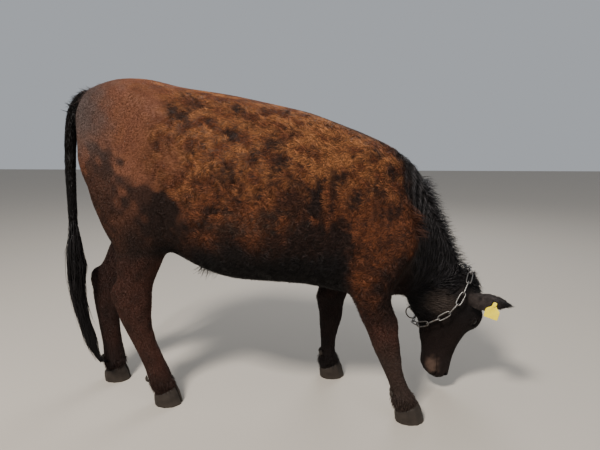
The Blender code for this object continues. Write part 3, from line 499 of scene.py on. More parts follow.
def finestMask(points):
    # the lids, the nostrils and both sides of the mouth
    head = toHead(points)
    mouth = (np.abs(head[:, 2] + 0.045) < 0.013) & (head[:, 0] > 0.325) & (head[:, 0] < 0.48)
    mouth &= np.abs(head[:, 1]) < 0.1
    return nearEither(head, eyeAt, 0.027) | nearEither(head, nostrilAt, 0.021) | mouth


def makeSkin():
    skin = fusedFlesh()
    mesh = skin.data
    weights = regionWeights(mesh, 14)
    softness = mixed(weights, skinPlan["softness"])
    points = relax(coords(mesh), edgePairs(mesh), skinPlan["passes"], 0.5 * softness)
    putCoords(mesh, points)
    depth = mixed(weights, skinPlan["coatDepth"])
    points = points - normals(mesh) * depth[:, None]
    putCoords(mesh, refined(mesh, points, headMask, 3, lambda points: headMask(points, 0.02)))
    addEars(skin)
    mesh = skin.data
    points = refined(mesh, coords(mesh), fineMask, 2)
    points = refined(mesh, points, finestMask, 2)
    points -= normals(mesh) * (jawCrease["deep"] * creaseShare(toHead(points)))[:, None]
    head = headMask(points, 0.01)
    shaped = hugEyes(sculptFace(toHead(points), normals(mesh) @ headAxes))
    points[head] = fromHead(shaped)[head]
    putCoords(mesh, points)
    bm = bmesh.new()
    bm.from_mesh(mesh)
    addLids(bm)
    bm.to_mesh(mesh)
    bm.free()
    shade(mesh)
    mesh.update()
    return skin


skin = makeSkin()
print("stage: skin", len(skin.data.polygons))

# ---------- markings ----------
# the gold, the haunch's warm brown, the neck's grey, the rump's grey and the ear's grey stand partly or
# wholly for light: painted highlight, painted sheen and painted reflection
pelt = {
    "black": (0.0080, 0.0068, 0.0070), "dark": (0.0205, 0.0105, 0.0080), "rust": (0.120, 0.0390, 0.0165),
    "goldAndHighlight": (0.360, 0.150, 0.056), "haunch": (0.168, 0.0630, 0.0345), "legs": (0.060, 0.0230, 0.0155),
    "ridgeSheen": (0.068, 0.062, 0.064), "dust": (0.075, 0.058, 0.043), "jaw": (0.075, 0.056, 0.046),
    "muzzle": (0.150, 0.093, 0.068), "pad": (0.012, 0.010, 0.011), "ear": (0.058, 0.046, 0.042),
    "rump": (0.112, 0.090, 0.084), "shin": (0.046, 0.0320, 0.0260),
}
marks = {
    # the black of the neck begins here: height, and place along from the trunk's middle
    "front": [(0.44, 0.50), (0.55, 0.53), (0.58, 0.55), (0.62, 0.61), (0.73, 0.605), (0.81, 0.575),
              (0.93, 0.545), (1.02, 0.49)],
    "ridgeFrom": (0.600, 0.486), "ridges": 100,
    # ovals: place along and height, reach along and up, where the edge begins and ends
    "shoulder": ((0.315, 0.995), (0.150, 0.190), 0.5, 1.25),
    "dusty": ((0.045, 0.735), (0.13, 0.035), 0.5, 1.4),
    "forearm": ((0.530, 0.470), (0.055, 0.11), 0.6, 1.3),
    "jaw": ((0.120, -0.120), (0.055, 0.055), 0.7, 1.25),
    "lips": ((0.388, -0.068), (0.036, 0.026), 0.1, 1.45),
    # dark patches on each flank: along, height, reach along, reach up, strength
    "patches": [(-0.266, 0.725, 0.088, 0.100, 1.0), (-0.325, 0.808, 0.070, 0.056, 0.85),
                (-0.246, 0.790, 0.050, 0.050, 0.95), (0.258, 0.795, 0.026, 0.075, 1.0),
                (0.318, 0.860, 0.022, 0.055, 0.85), (0.235, 0.668, 0.095, 0.078, 0.97),
                (-0.085, 0.775, 0.055, 0.014, 0.90), (0.128, 0.990, 0.040, 0.018, 0.60),
                (-0.192, 1.085, 0.040, 0.026, 0.55), (-0.052, 0.710, 0.110, 0.022, 0.60),
                (0.318, 0.640, 0.066, 0.108, 1.0), (0.590, 0.560, 0.060, 0.075, 0.90),
                (0.215, 0.760, 0.060, 0.120, 0.60), (0.520, 0.480, 0.045, 0.085, 0.90),
                (0.090, 0.740, 0.030, 0.050, 0.50), (0.170, 0.800, 0.050, 0.040, 0.45),
                (-0.480, 0.850, 0.085, 0.145, 0.72), (-0.455, 0.915, 0.046, 0.052, 0.60),
                (-0.382, 0.860, 0.040, 0.034, 0.55), (-0.450, 0.930, 0.045, 0.030, 0.30)],
}


def fromTrunk(points):
    return points - bodyAt


def neckFan(points):
    # distance and angle from the throat, and the phase of the ridges that fan out from it
    body = fromTrunk(points)
    up, along = body[:, 2] - marks["ridgeFrom"][1], body[:, 0] - marks["ridgeFrom"][0]
    angle = np.arctan2(up, along)
    return np.hypot(up, along), angle, angle * marks["ridges"] + 1.3 * waves(points, 0.16, 53)


def neckRidges(points):
    # 1 on a ridge of the neck's hair, 0 in a furrow
    return 0.5 + 0.5 * np.sin(neckFan(points)[2])


def ridgeTops(points):
    # the nearest place on top of a ridge
    far, angle, phase = neckFan(points)
    turn = ((math.pi / 2 - phase + math.pi) % (2 * math.pi) - math.pi) / marks["ridges"]
    return points + np.stack([-np.sin(angle), 0 * angle, np.cos(angle)], 1) * (turn * far)[:, None]


def earReach(head):
    # share of the ear's length, from its root to its tip
    reach = np.zeros(len(head))
    for side in sideNames:
        root, along, opening = earAxes(side)
        mine = head[:, 1] * side > 0
        reach[mine] = (head[mine] - root) @ along / headPlan["earLength"]
    return reach


def spot(x, z, at, reach, begin, end, wander=0):
    # 1 inside an oval, 0 outside it
    return 1 - ease(np.hypot((x - at[0]) / reach[0], (z - at[1]) / reach[1]) + wander, begin, end)


def markings(points, weights):
    # colour of the coat at each point, without the light and dark of single tufts
    colour = {name: np.array(value) for name, value in pelt.items()}
    on, body, head = partsOf(weights), fromTrunk(points), toHead(points)
    x, z = body[:, 0], body[:, 2]

    def wave(size, seed):
        return waves(points, size, seed)

    trunkish = on["trunk"] + on["thigh"] + on["neck"]
    belly = 0.605 + 0.030 * wave(0.16, 3) - 0.05 * ease(x, 0.328, 0.448)
    rust = ease(z, belly, belly + 0.15)
    rust = np.maximum(rust, ease(x, 0.328, 0.408) * ease(z, 0.34, 0.56) * 0.80)
    rust *= 1 - 0.72 * (1 - ease(x, -0.560, -0.370)) * ease(z, 0.92, 1.10)     # greyer round the tail
    # the neck is black in front of a slanting border
    front = np.interp(z, *zip(*marks["front"]))
    before = ease(x, front - 0.030, front + 0.018 + 0.012 * wave(0.05, 5))
    rust *= 1 - before
    ragged = 0.30 * wave(0.05, 8)
    for px, pz, rx, rz, strength in marks["patches"]:
        rust *= 1 - strength * spot(x, z, (px, pz), (rx, rz), 0.65, 1.25, ragged)
    rough = np.clip(0.80 + 0.42 * wave(0.085, 21) + 0.36 * wave(0.024, 22), 0.06, 1.35)
    haunch = 1 - ease(x + 0.06 * wave(0.12, 24), -0.36, -0.12)
    low = 1 - ease(z + 0.05 * wave(0.15, 25), 0.70, 0.90)
    rust *= 1 - 0.50 * haunch * low
    rust *= rough + (0.92 - rough) * haunch
    rust = np.clip(rust * np.clip(trunkish * 1.4, 0, 1), 0, 1)
    shoulder = spot(x, z, *marks["shoulder"], 0.2 * wave(0.05, 28))
    rust = np.clip(rust * (1 + 0.45 * shoulder), 0, 1)
    # the haunch's warm brown is partly its own colour and partly a painted sheen, brighter than the rust
    warm = colour["rust"] + (colour["haunch"] - colour["rust"]) * (0.85 * haunch)[:, None]
    mix = colour["dark"] + (warm - colour["dark"]) * rust[:, None]

    def blend(name, amount):
        nonlocal mix
        mix = mix + (colour[name] - mix) * np.clip(amount, 0, 1)[:, None]

    # the upper flank is painted lighter gold towards the top: partly sun-bleached hair, partly a painted
    # highlight where the light falls on the back
    goldAndHighlight = ease(z, 0.72, 0.96) * np.clip(0.40 + 0.55 * wave(0.06, 31) + 0.38 * shoulder, 0, 1) * rust
    goldAndHighlight *= 1 - 0.82 * haunch
    blend("goldAndHighlight", 0.66 * goldAndHighlight)
    under = (1 - ease(z, belly - 0.04, belly + 0.06)) * np.clip(trunkish, 0, 1) * (1 - ease(x, 0.348, 0.408))
    blend("black", 0.95 * under)
    dusty = spot(x, z, *marks["dusty"], 0.4 * wave(0.03, 33))
    blend("dust", 0.30 * dusty * trunkish * np.clip(0.5 + wave(0.016, 34), 0, 1))
    leg = on["leg"] + on["shank"]
    blend("legs", leg * (0.80 + 0.25 * wave(0.07, 41)))
    blend("dark", leg * (1 - ease(z, 0.07, 0.20)) * 0.75)
    # painted reflection: the top of the rump is painted light grey for the sky's sheen on the dark hair
    rump = (1 - ease(x + 0.03 * wave(0.08, 29), -0.600, -0.360)) * ease(z, 0.88, 1.06)
    blend("rump", rump * 0.62 * trunkish)
    blend("black", on["tail"] * 1.3)
    fore, left = ease(x, 0.0, 0.1), ease(body[:, 1], -0.02, 0.04)
    # painted shade: the far (left) legs are painted near black, more on the fore legs
    blend("black", leg * left * (0.45 + 0.35 * fore))
    blend("black", leg * fore * spot(x, z, *marks["forearm"]) * 0.75)
    blend("shin", leg * fore * (1 - left) * (1 - ease(z, 0.22, 0.34)) * 0.70)
    blend("black", before * on["neck"] + (on["head"] + on["ear"]) * 1.25)
    # painted sheen: the tops of the neck's hair ridges are painted grey, more strongly higher up
    sheenStreaks = neckRidges(points) ** 3 * np.clip(0.80 + 0.4 * wave(0.05, 51), 0, 1)
    blend("ridgeSheen", on["neck"] * sheenStreaks * (0.35 + 0.65 * ease(z, 0.40, 0.62)) * before)
    ahead, side, above = head[:, 0], np.abs(head[:, 1]), head[:, 2]
    onHead = on["head"] + on["neck"]
    blend("jaw", onHead * spot(ahead, above, *marks["jaw"]) * 0.65)
    blend("dark", on["head"] * 0.60 * ease(ahead, 0.05, 0.30))
    # painted shade: the crease behind the jaw is painted black
    blend("black", onHead * 0.8 * creaseShare(head))
    lips = spot(ahead, above, *marks["lips"], 0.22 * wave(0.024, 43))
    blend("muzzle", on["head"] * lips * ease(side, 0.012, 0.030) * 0.66)
    blend("pad", on["head"] * padMask(head))
    # painted sheen: the ear, short of its black tip, and the skin round the ear roots are painted light grey
    reach = earReach(head)
    blend("ear", on["ear"] * (1 - ease(reach, 0.55, 0.92)) * (0.75 + 0.3 * wave(0.03, 44)))
    root = np.linalg.norm((np.abs(head) - (0.070, 0.085, 0.040)) / (0.03, 0.05, 0.04), axis=1)
    blend("ear", (1 - ease(root, 0.5, 1.3)) * 0.35)
    blend("black", on["ear"] * ease(reach, 0.78, 0.95))
    blend("legs", on["udder"] * 0.8)
    # a thin dark line runs down the whole back
    wide = 0.022 + 0.034 * ease(x, 0.10, 0.45) + 0.005 * wave(0.05, 26)
    crest = np.exp(-((body[:, 1] + 0.006 * wave(0.12, 27)) / wide) ** 2) * ease(z, 0.95, 1.02) * trunkish
    blend("black", crest * (0.72 + 0.28 * ease(x, -0.10, 0.25)))
    return mix


def padMask(head):
    # bare nose pad between and round the nostrils
    wide = 0.047 - 0.25 * np.clip(0.010 - head[:, 2], 0, 0.06)
    return (ease(head[:, 0], 0.398, 0.408) * (1 - ease(np.abs(head[:, 1]), wide - 0.004, wide + 0.003))
            * ease(head[:, 2], -0.036, -0.030) * (1 - ease(head[:, 2], 0.024, 0.032)))


def putColour(mesh, name, colours):
    layer = mesh.color_attributes.new(name, "FLOAT_COLOR", "POINT")
    rgba = np.ones((len(colours), 4), np.float32)
    rgba[:, :3] = colours
    layer.data.foreach_set("color", rgba.ravel())


def putValue(mesh, name, values):
    layer = mesh.attributes.new(name, "FLOAT", "POINT")
    layer.data.foreach_set("value", values.astype(np.float32))


skinWeights = regionWeights(skin.data, 30)
skinPoints = coords(skin.data)
skinOutward = normals(skin.data)
skinBody, skinHead = fromTrunk(skinPoints), toHead(skinPoints)
padShare = partsOf(skinWeights)["head"] * 1.3
putValue(skin.data, "bare", np.clip(padShare, 0, 1) * padMask(skinHead))


# ---------- materials ----------
def newMaterial(name, roughness, **inputs):
    material = bpy.data.materials.new(name)
    material.use_nodes = True
    shader = material.node_tree.nodes["Principled BSDF"]
    shader.inputs["Roughness"].default_value = roughness
    for key, value in inputs.items():
        shader.inputs[key.replace("_", " ")].default_value = value
    return material, material.node_tree, shader


def node(tree, kind, **settings):
    made = tree.nodes.new(kind)
    for key, value in settings.items():
        if hasattr(made, key):
            setattr(made, key, value)
        else:
            made.inputs[key.replace("_", " ")].default_value = value
    return made


def noiseField(tree, scale, detail=4.0, roughness=0.6):
    # noise on the object's own coordinates
    place = node(tree, "ShaderNodeTexCoord")
    noise = node(tree, "ShaderNodeTexNoise", Scale=scale, Detail=detail, Roughness=roughness)
    tree.links.new(place.outputs["Object"], noise.inputs["Vector"])
    return noise.outputs["Fac"]


def ramp(tree, source, low, high, start, stop):
    # maps a value between two limits on to two results
    made = node(tree, "ShaderNodeMapRange")
    for key, value in (("From Min", low), ("From Max", high), ("To Min", start), ("To Max", stop)):
        made.inputs[key].default_value = value
    tree.links.new(source, made.inputs["Value"])
    return made.outputs["Result"]


def mixColours(tree, share, first, second):
    made = node(tree, "ShaderNodeMix", data_type="RGBA")
    tree.links.new(share, made.inputs[0])
    for slot, value in ((6, first), (7, second)):
        if isinstance(value, tuple):
            made.inputs[slot].default_value = (*value, 1)
        else:
            tree.links.new(value, made.inputs[slot])
    return made.outputs[2]


def attribute(tree, name):
    return node(tree, "ShaderNodeAttribute", attribute_name=name)


def addBump(tree, shader, height, strength, distance):
    bump = node(tree, "ShaderNodeBump", Strength=strength, Distance=distance)
    tree.links.new(height, bump.inputs["Height"])
    tree.links.new(bump.outputs["Normal"], shader.inputs["Normal"])


def makeCoatMaterial():
    material, tree, shader = newMaterial("coat hair", 0.50, Specular_IOR_Level=0.16)
    tree.links.new(attribute(tree, "pelt").outputs["Color"], shader.inputs["Base Color"])
    return material


def makeSkinMaterial():
    material, tree, shader = newMaterial("haired skin", 0.62, Specular_IOR_Level=0.12)
    bare = attribute(tree, "bare")
    tree.links.new(attribute(tree, "pelt").outputs["Color"], shader.inputs["Base Color"])
    place = node(tree, "ShaderNodeTexCoord")
    cells = node(tree, "ShaderNodeTexVoronoi", Scale=420.0)
    tree.links.new(place.outputs["Object"], cells.inputs["Vector"])
    choose = node(tree, "ShaderNodeMix", data_type="FLOAT")
    tree.links.new(bare.outputs["Fac"], choose.inputs[0])
    tree.links.new(noiseField(tree, 420.0, 3.0), choose.inputs[2])
    tree.links.new(cells.outputs["Distance"], choose.inputs[3])
    addBump(tree, shader, choose.outputs[0], 0.5, 0.0012)
    tree.links.new(ramp(tree, bare.outputs["Fac"], 0, 1, 0.62, 0.30), shader.inputs["Roughness"])
    return material


def makeHornMaterial():
    # hoof horn: rings parallel to the coronet, fine noise bumps and dust low down
    material, tree, shader = newMaterial("hoof horn", 0.55, Specular_IOR_Level=0.2)
    depth = attribute(tree, "below coronet")
    rings = node(tree, "ShaderNodeMath", operation="MULTIPLY")
    rings.inputs[1].default_value = 1500.0
    tree.links.new(depth.outputs["Fac"], rings.inputs[0])
    wave = node(tree, "ShaderNodeMath", operation="SINE")
    tree.links.new(rings.outputs[0], wave.inputs[0])
    height = node(tree, "ShaderNodeMath", operation="MULTIPLY_ADD")
    height.inputs[1].default_value = 0.09
    tree.links.new(wave.outputs[0], height.inputs[0])
    tree.links.new(noiseField(tree, 160.0), height.inputs[2])
    addBump(tree, shader, height.outputs[0], 0.5, 0.0012)
    tone = mixColours(tree, noiseField(tree, 45.0), (0.014, 0.0105, 0.0085), (0.042, 0.032, 0.025))
    dust = ramp(tree, depth.outputs["Fac"], 0.030, 0.080, 0.0, 0.65)
    tree.links.new(mixColours(tree, dust, tone, (0.075, 0.060, 0.046)), shader.inputs["Base Color"])
    tree.links.new(ramp(tree, noiseField(tree, 70.0), 0.3, 0.7, 0.48, 0.75), shader.inputs["Roughness"])
    return material


def makeSteelMaterial(name, clean, stain, rust):
    # worn steel with brown stain in patches
    material, tree, shader = newMaterial(name, 0.40, Metallic=1.0)
    patch = ramp(tree, noiseField(tree, 130.0), 0.62 - rust, 0.70 - rust * 0.6, 0.0, 1.0)
    tone = mixColours(tree, noiseField(tree, 520.0), clean, tuple(0.55 * value for value in clean))
    tree.links.new(mixColours(tree, patch, tone, stain), shader.inputs["Base Color"])
    tree.links.new(ramp(tree, patch, 0, 1, 1.0, 0.35), shader.inputs["Metallic"])
    tree.links.new(ramp(tree, noiseField(tree, 300.0), 0.3, 0.7, 0.30, 0.55), shader.inputs["Roughness"])
    addBump(tree, shader, noiseField(tree, 900.0), 0.35, 0.0004)
    return material


def makeTagMaterial():
    material, tree, shader = newMaterial("yellow tag plastic", 0.42, Specular_IOR_Level=0.25)
    tone = mixColours(tree, ramp(tree, noiseField(tree, 60.0), 0.35, 0.75, 0, 1), (0.84, 0.66, 0.006),
                      (0.74, 0.56, 0.004))
    scuff = ramp(tree, noiseField(tree, 420.0, 6.0), 0.62, 0.70, 0.0, 0.5)
    tree.links.new(mixColours(tree, scuff, tone, (0.60, 0.52, 0.20)), shader.inputs["Base Color"])
    addBump(tree, shader, noiseField(tree, 800.0), 0.2, 0.0003)
    return material


def makeEyeMaterial():
    material, tree, shader = newMaterial("eye", 0.10, Specular_IOR_Level=0.20, Coat_Weight=0.25,
                                         Coat_Roughness=0.03)
    tree.links.new(attribute(tree, "tone").outputs["Color"], shader.inputs["Base Color"])
    return material


coatMaterial = makeCoatMaterial()
skin.data.materials.clear()
skin.data.materials.append(makeSkinMaterial())
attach(skin, "root")
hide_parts(*skinNodes)


def dress(obj, material, slot, *replaced):
    obj.data.materials.clear()
    obj.data.materials.append(material)
    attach(obj, "root")
    if replaced:
        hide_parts(*replaced)
    return obj


# ---------- coat ----------
# length, width, lift in degrees, swirl, spread of the tips, tufts for each square centimetre
coatPlan = {
    "trunk": (0.0150, 0.0027, 13, 0.85, 0.30, 3.5),
    "thigh": (0.0130, 0.0024, 7, 0.12, 0.20, 8.0),
    "neck": (0.0330, 0.0032, 7, 0.05, 0.80, 4.6),
    "head": (0.0085, 0.0017, 8, 0.20, 0.20, 14.0),
    "leg": (0.0120, 0.0023, 9, 0.20, 0.25, 8.5),
    "shank": (0.0100, 0.0020, 8, 0.20, 0.20, 10.0),
    "tail": (0.0300, 0.0026, 4, 0.12, 0.20, 7.0),
    "udder": (0.0080, 0.0022, 12, 0.30, 0.15, 5.0),
    "ear": (0.0090, 0.0016, 8, 0.15, 0.15, 15.0),
}
lieOf = {  # the way the hair points, in the animal's axes
    "trunk": (-0.92, 0.0, -0.36), "thigh": (-0.40, 0.0, -0.90), "neck": (-0.25, 0.0, -0.35),
    "head": (0.0, 0.0, 0.0), "leg": (-0.12, 0.0, -1.0), "shank": (-0.10, 0.0, -1.0),
    "tail": (-0.10, 0.0, -1.0), "udder": (-0.30, 0.0, -0.7), "ear": (0.0, 0.0, 0.0),
}
whorl = (0.105, 0.0, 0.060)     # on the forehead; the face's hair runs out from it


def lieOfCoat(points, weights, outward):
    way = mixed(weights, lieOf)
    on, body, head = partsOf(weights), fromTrunk(points), toHead(points)
    # the haunch's hair turns down, and the neck's runs in to the throat
    haunch = on["trunk"] * (1 - ease(body[:, 0], -0.48, -0.15))
    way += np.outer(haunch, (0.45, 0.0, -0.45))
    throatAlong, throatUp = marks["ridgeFrom"]
    throat = np.stack([throatAlong - body[:, 0], 0 * body[:, 0], throatUp - body[:, 2]], 1)
    way += unit(throat) * on["neck"][:, None]
    radial = head - np.array(whorl)
    radial[:, 1] *= 1.2
    cheek = ease(np.abs(head[:, 1]), 0.03, 0.07)[:, None]
    fromFace = unit(radial) * (1 - 0.5 * cheek) + np.array((-0.2, 0, -0.8)) * 0.5 * cheek
    way += (fromFace @ headAxes.T) * on["head"][:, None]
    for side in sideNames:
        root, along, opening = earAxes(side)
        way += np.outer(on["ear"] * (head[:, 1] * side > 0), headAxes @ along)
    way -= outward * (way * outward).sum(1)[:, None]
    return unit(way)


def placePlan(points, weights, outward):
    # the plan of each region, changed from place to place inside it
    plan = mixed(weights, coatPlan)
    length, width, lift, swirl, spread, tufts = plan.T
    on, body, head = partsOf(weights), fromTrunk(points), toHead(points)
    sleek = on["trunk"] * (1 - ease(body[:, 0] + 0.05 * waves(points, 0.12, 24), -0.36, -0.14))
    back = on["trunk"] * ease(outward[:, 2], 0.80, 0.97)
    sleek = np.maximum(sleek, 0.8 * back)
    for column, loss in ((length, 0.35), (width, 0.32), (lift, 0.50), (swirl, 0.90), (spread, 0.40)):
        column *= 1 - loss * sleek
    tufts *= 1 + 0.45 * sleek
    length *= 1 + 0.35 * (on["trunk"] * (1 - ease(body[:, 2], 0.52, 0.66)))      # low on the belly
    muzzle = on["head"] * ease(head[:, 0], 0.28, 0.38)
    length *= 1 - 0.60 * muzzle
    width *= 1 - 0.40 * muzzle
    ridge = on["neck"] * neckRidges(points)
    length *= 1 + 0.30 * ridge
    lift *= 1 + 0.70 * ridge
    # the hollow of the ear has longer hair, the tip a dark tuft
    reach = earReach(head)
    inside = np.zeros(len(points))
    for side in sideNames:
        facing = outward @ (headAxes @ earAxes(side)[2])
        inside = np.maximum(inside, (head[:, 1] * side > 0) * ease(facing, 0.0, 0.5))
    inside = inside * on["ear"]
    length *= 1 + 1.3 * inside * (1 - ease(reach, 0.45, 0.85))
    lift *= 1 + 2.6 * inside
    length *= 1 + 0.7 * on["ear"] * ease(reach, 0.80, 0.96)
    return plan


def scatter(mesh, density, keep):
    # roots on the faces of a mesh; density is per square metre at each vertex
    mesh.calc_loop_triangles()
    tris = grab(mesh.loop_triangles, "vertices", 3, np.int32)
    tris = tris[keep[tris[:, 0]]]
    points = coords(mesh)
    a, b, c = points[tris[:, 0]], points[tris[:, 1]], points[tris[:, 2]]
    area = np.linalg.norm(np.cross(b - a, c - a), axis=1) / 2
    expected = area * density[tris].mean(1)
    number = np.floor(expected + draw.random(len(tris))).astype(int)
    picked = np.repeat(np.arange(len(tris)), number)
    u, v = draw.random(len(picked)), draw.random(len(picked))
    fold = u + v > 1
    u[fold], v[fold] = 1 - u[fold], 1 - v[fold]
    return tris[picked], np.stack([1 - u - v, u, v], 1)


def carry(values, tris, shares):
    return (values[tris] * shares[:, :, None]).sum(1)


def tuftShape(rings):
    # one closed three-sided lock: side places, heights and faces, taken from a cone
    bm = bmesh.new()
    bmesh.ops.create_cone(bm, cap_ends=True, segments=3, radius1=1, radius2=1, depth=1,
                          matrix=Matrix.Translation((0, 0, 0.5)))
    for k in range(1, rings):
        bmesh.ops.bisect_plane(bm, geom=bm.verts[:] + bm.edges[:] + bm.faces[:],
                               plane_co=(0, 0, k / rings), plane_no=(0, 0, 1))
    top = [v for v in bm.verts if v.co.z > 1 - 1e-4]
    bmesh.ops.pointmerge(bm, verts=top, merge_co=(0, 0, 1))
    bmesh.ops.triangulate(bm, faces=bm.faces)
    bmesh.ops.recalc_face_normals(bm, faces=bm.faces)
    bm.verts.index_update()
    spots = np.array([tuple(v.co) for v in bm.verts])
    faces = np.array([[v.index for v in face.verts] for face in bm.faces])
    bm.free()
    return spots, faces


def joinLocks(name, shape, line, side, up, width, colours, flat, shadeAndBleach=(0.50, 1.40), thick=0.38, taper=1.6):
    # one mesh of many locks; line has each lock's middle at each of its points, flat each root's place on
    # the unwrapped skin
    spots, faces = shape
    count = len(line)
    t = spots[:, 2][None, :, None]
    girth = (1 - 0.92 * t ** taper) * width[:, None, None] / 2
    body = line + side * spots[None, :, :1] * girth + up * spots[None, :, 1:2] * girth * thick
    # each lock is painted darker at its root and lighter at its tip: partly sun-bleached hair, partly painted
    # shade among the hairs and painted highlight on the tips
    tint = np.clip(colours[:, None, :] * (shadeAndBleach[0] + (shadeAndBleach[1] - shadeAndBleach[0]) * t), 0, 1)
    corners = (faces[None] + (np.arange(count) * len(spots))[:, None, None]).reshape(-1, 3)
    mesh = bpy.data.meshes.new(name)
    mesh.vertices.add(count * len(spots))
    mesh.vertices.foreach_set("co", body.astype(np.float32).ravel())
    mesh.loops.add(corners.size)
    mesh.loops.foreach_set("vertex_index", corners.astype(np.int32).ravel())
    mesh.polygons.add(len(corners))
    mesh.polygons.foreach_set("loop_start", np.arange(0, corners.size, 3, dtype=np.int32))
    shade(mesh)
    mesh.update(calc_edges=True)
    putColour(mesh, "pelt", tint.reshape(-1, 3))
    patch = np.stack([(spots[:, 0] + 1) / 2 * (1 - 0.5 * spots[:, 2]),
                      spots[:, 2] * 0.9 + 0.1 * (spots[:, 1] + 1) / 2], 1)
    layer = mesh.uv_layers.new(name="OFBake")
    places = (flat[:, None, :] + patch[None] * 0.003).reshape(-1, 2)[corners.ravel()]
    layer.data.foreach_set("uv", places.astype(np.float32).ravel())
    print(name, count, "locks", len(corners), "faces")
    return dress(linkObject(name, mesh), coatMaterial, "coat")


def growTufts(name, roots, outward, way, length, width, lift, swirl, colours, flat, rings=2, clumps=None,
              spread=None, droop=0.35, sink=0.12, shadeAndBleach=(0.50, 1.40)):
    shape = tuftShape(rings)
    count = len(roots)
    side = unit(np.cross(way, outward))
    t = shape[0][:, 2][None, :, None]
    bend = draw.normal(size=(count, 1, 1)) * swirl[:, None, None]
    lift = np.radians(lift)[:, None, None]
    span = length[:, None, None]
    buried = (sink * width)[:, None, None]
    line = roots[:, None, :] - outward[:, None, :] * buried
    line = line + way[:, None, :] * span * t * np.cos(lift)
    line = line + outward[:, None, :] * (span * np.sin(lift) * (t * (1 + droop) - droop * t * t) + buried * t)
    line = line + side[:, None, :] * span * bend * 0.30 * t * t
    if clumps is not None:
        pull = clumps - roots
        pull -= outward * (pull * outward).sum(1)[:, None]
        line = line + pull[:, None, :] * spread[:, None, None] * t * t
    return joinLocks(name, shape, line, side[:, None, :], outward[:, None, :], width, colours, flat, shadeAndBleach)


def unwrapped(points, start, stop):
    # places round and along an axis, as shares of 1, for a stretch of the body
    start, stop = np.array(start, float), np.array(stop, float)
    axis = (stop - start) / np.linalg.norm(stop - start)
    local = points - start
    along = local @ axis
    side = np.cross(axis, (0.0, 1.0, 0.0))
    side /= np.linalg.norm(side)
    turn = np.arctan2(local @ np.cross(axis, side), local @ side) / (2 * math.pi) + 0.5
    low, high = along.min(), along.max()
    return np.stack([0.01 + 0.97 * turn, 0.01 + 0.97 * (along - low) / max(high - low, 1e-6)], 1)


def clumpCentres(roots, size):
    picked = roots[draw.random(len(roots)) < 1 / size]
    tree = KDTree(len(picked))
    for i, p in enumerate(picked):
        tree.insert(p, i)
    tree.balance()
    return picked[[tree.find(p)[1] for p in roots]]


# painted shade: the skin is painted darker under the curls than under the sleek hair, which lets some of it
# through
skinCoat = placePlan(skinPoints, skinWeights, skinOutward)
shadow = 0.78 - 0.46 * np.clip(skinCoat[:, 3] / 0.85, 0, 1)
putColour(skin.data, "pelt", markings(skinPoints, skinWeights) * shadow[:, None])
print("stage: markings")
skinOwner = skinWeights.argmax(1)


def bareSkin():
    bare = padShare * padMask(skinHead) > 0.4
    for side in sideNames:
        centre, out, long, high = eyeAxes(side)
        near = np.linalg.norm(skinHead - centre, axis=1) < 0.026
        bare |= near & (almond(skinHead - centre, out, long, high) < 1.35)
    return bare


skinBare = bareSkin()


def owned(*regions):
    return np.isin(skinOwner, [regionNames.index(region) for region in regions])


def growOn(name, keep, axis, plan=None, way=None, rings=2, clump=7, more=1.0):
    # axis, in the body's places, is what the stretch is unwrapped round; plan and way stand in for the
    # regions' own
    tufts = skinCoat[:, 5] if plan is None else np.full(len(skinPoints), float(plan[5]))
    tris, shares = scatter(skin.data, tufts * 1e4 * more * ~skinBare, keep)
    roots = carry(skinPoints, tris, shares)
    outward = unit(carry(skinOutward, tris, shares))
    weights = carry(skinWeights, tris, shares)
    here = placePlan(roots, weights, outward) if plan is None else np.tile(plan, (len(roots), 1))
    if way is None:
        lie = lieOfCoat(roots, weights, outward)
    else:
        lie = np.tile(way, (len(roots), 1)).astype(float)
        lie = unit(lie - outward * (lie * outward).sum(1)[:, None])
    turn = here[:, 3] * (waves(roots, 0.045, 61) + 0.7 * waves(roots, 0.020, 62))
    side = np.cross(lie, outward)
    lie = unit(lie * np.cos(turn)[:, None] + side * np.sin(turn)[:, None])
    length = here[:, 0] * draw.uniform(0.65, 1.25, len(roots))
    width = here[:, 1] * draw.uniform(0.7, 1.25, len(roots))
    lift = here[:, 2] * draw.uniform(0.5, 1.5, len(roots))
    calm = np.clip(here[:, 3] / 0.85, 0.25, 1)
    tone = 1 + calm * (draw.uniform(-0.32, 0.42, len(roots)) + 0.30 * waves(roots, 0.014, 71))
    colours = markings(roots, weights) * np.clip(tone, 0.35, 1.9)[:, None]
    flat = unwrapped(roots - bodyAt, *axis)
    gathered = ridgeTops(roots) if name == "coat_neck" else clumpCentres(roots, clump)
    # painted shade at each lock's root and painted highlight at its tip, partly sun-bleached hair
    shadeAndBleach = (0.50, 1.40) if rings > 1 else (0.70, 1.25)     # from a lock's root to its tip
    return growTufts(name, roots, outward, lie, length, width, lift, here[:, 3], colours, flat, rings,
                     gathered, here[:, 4], shadeAndBleach=shadeAndBleach)


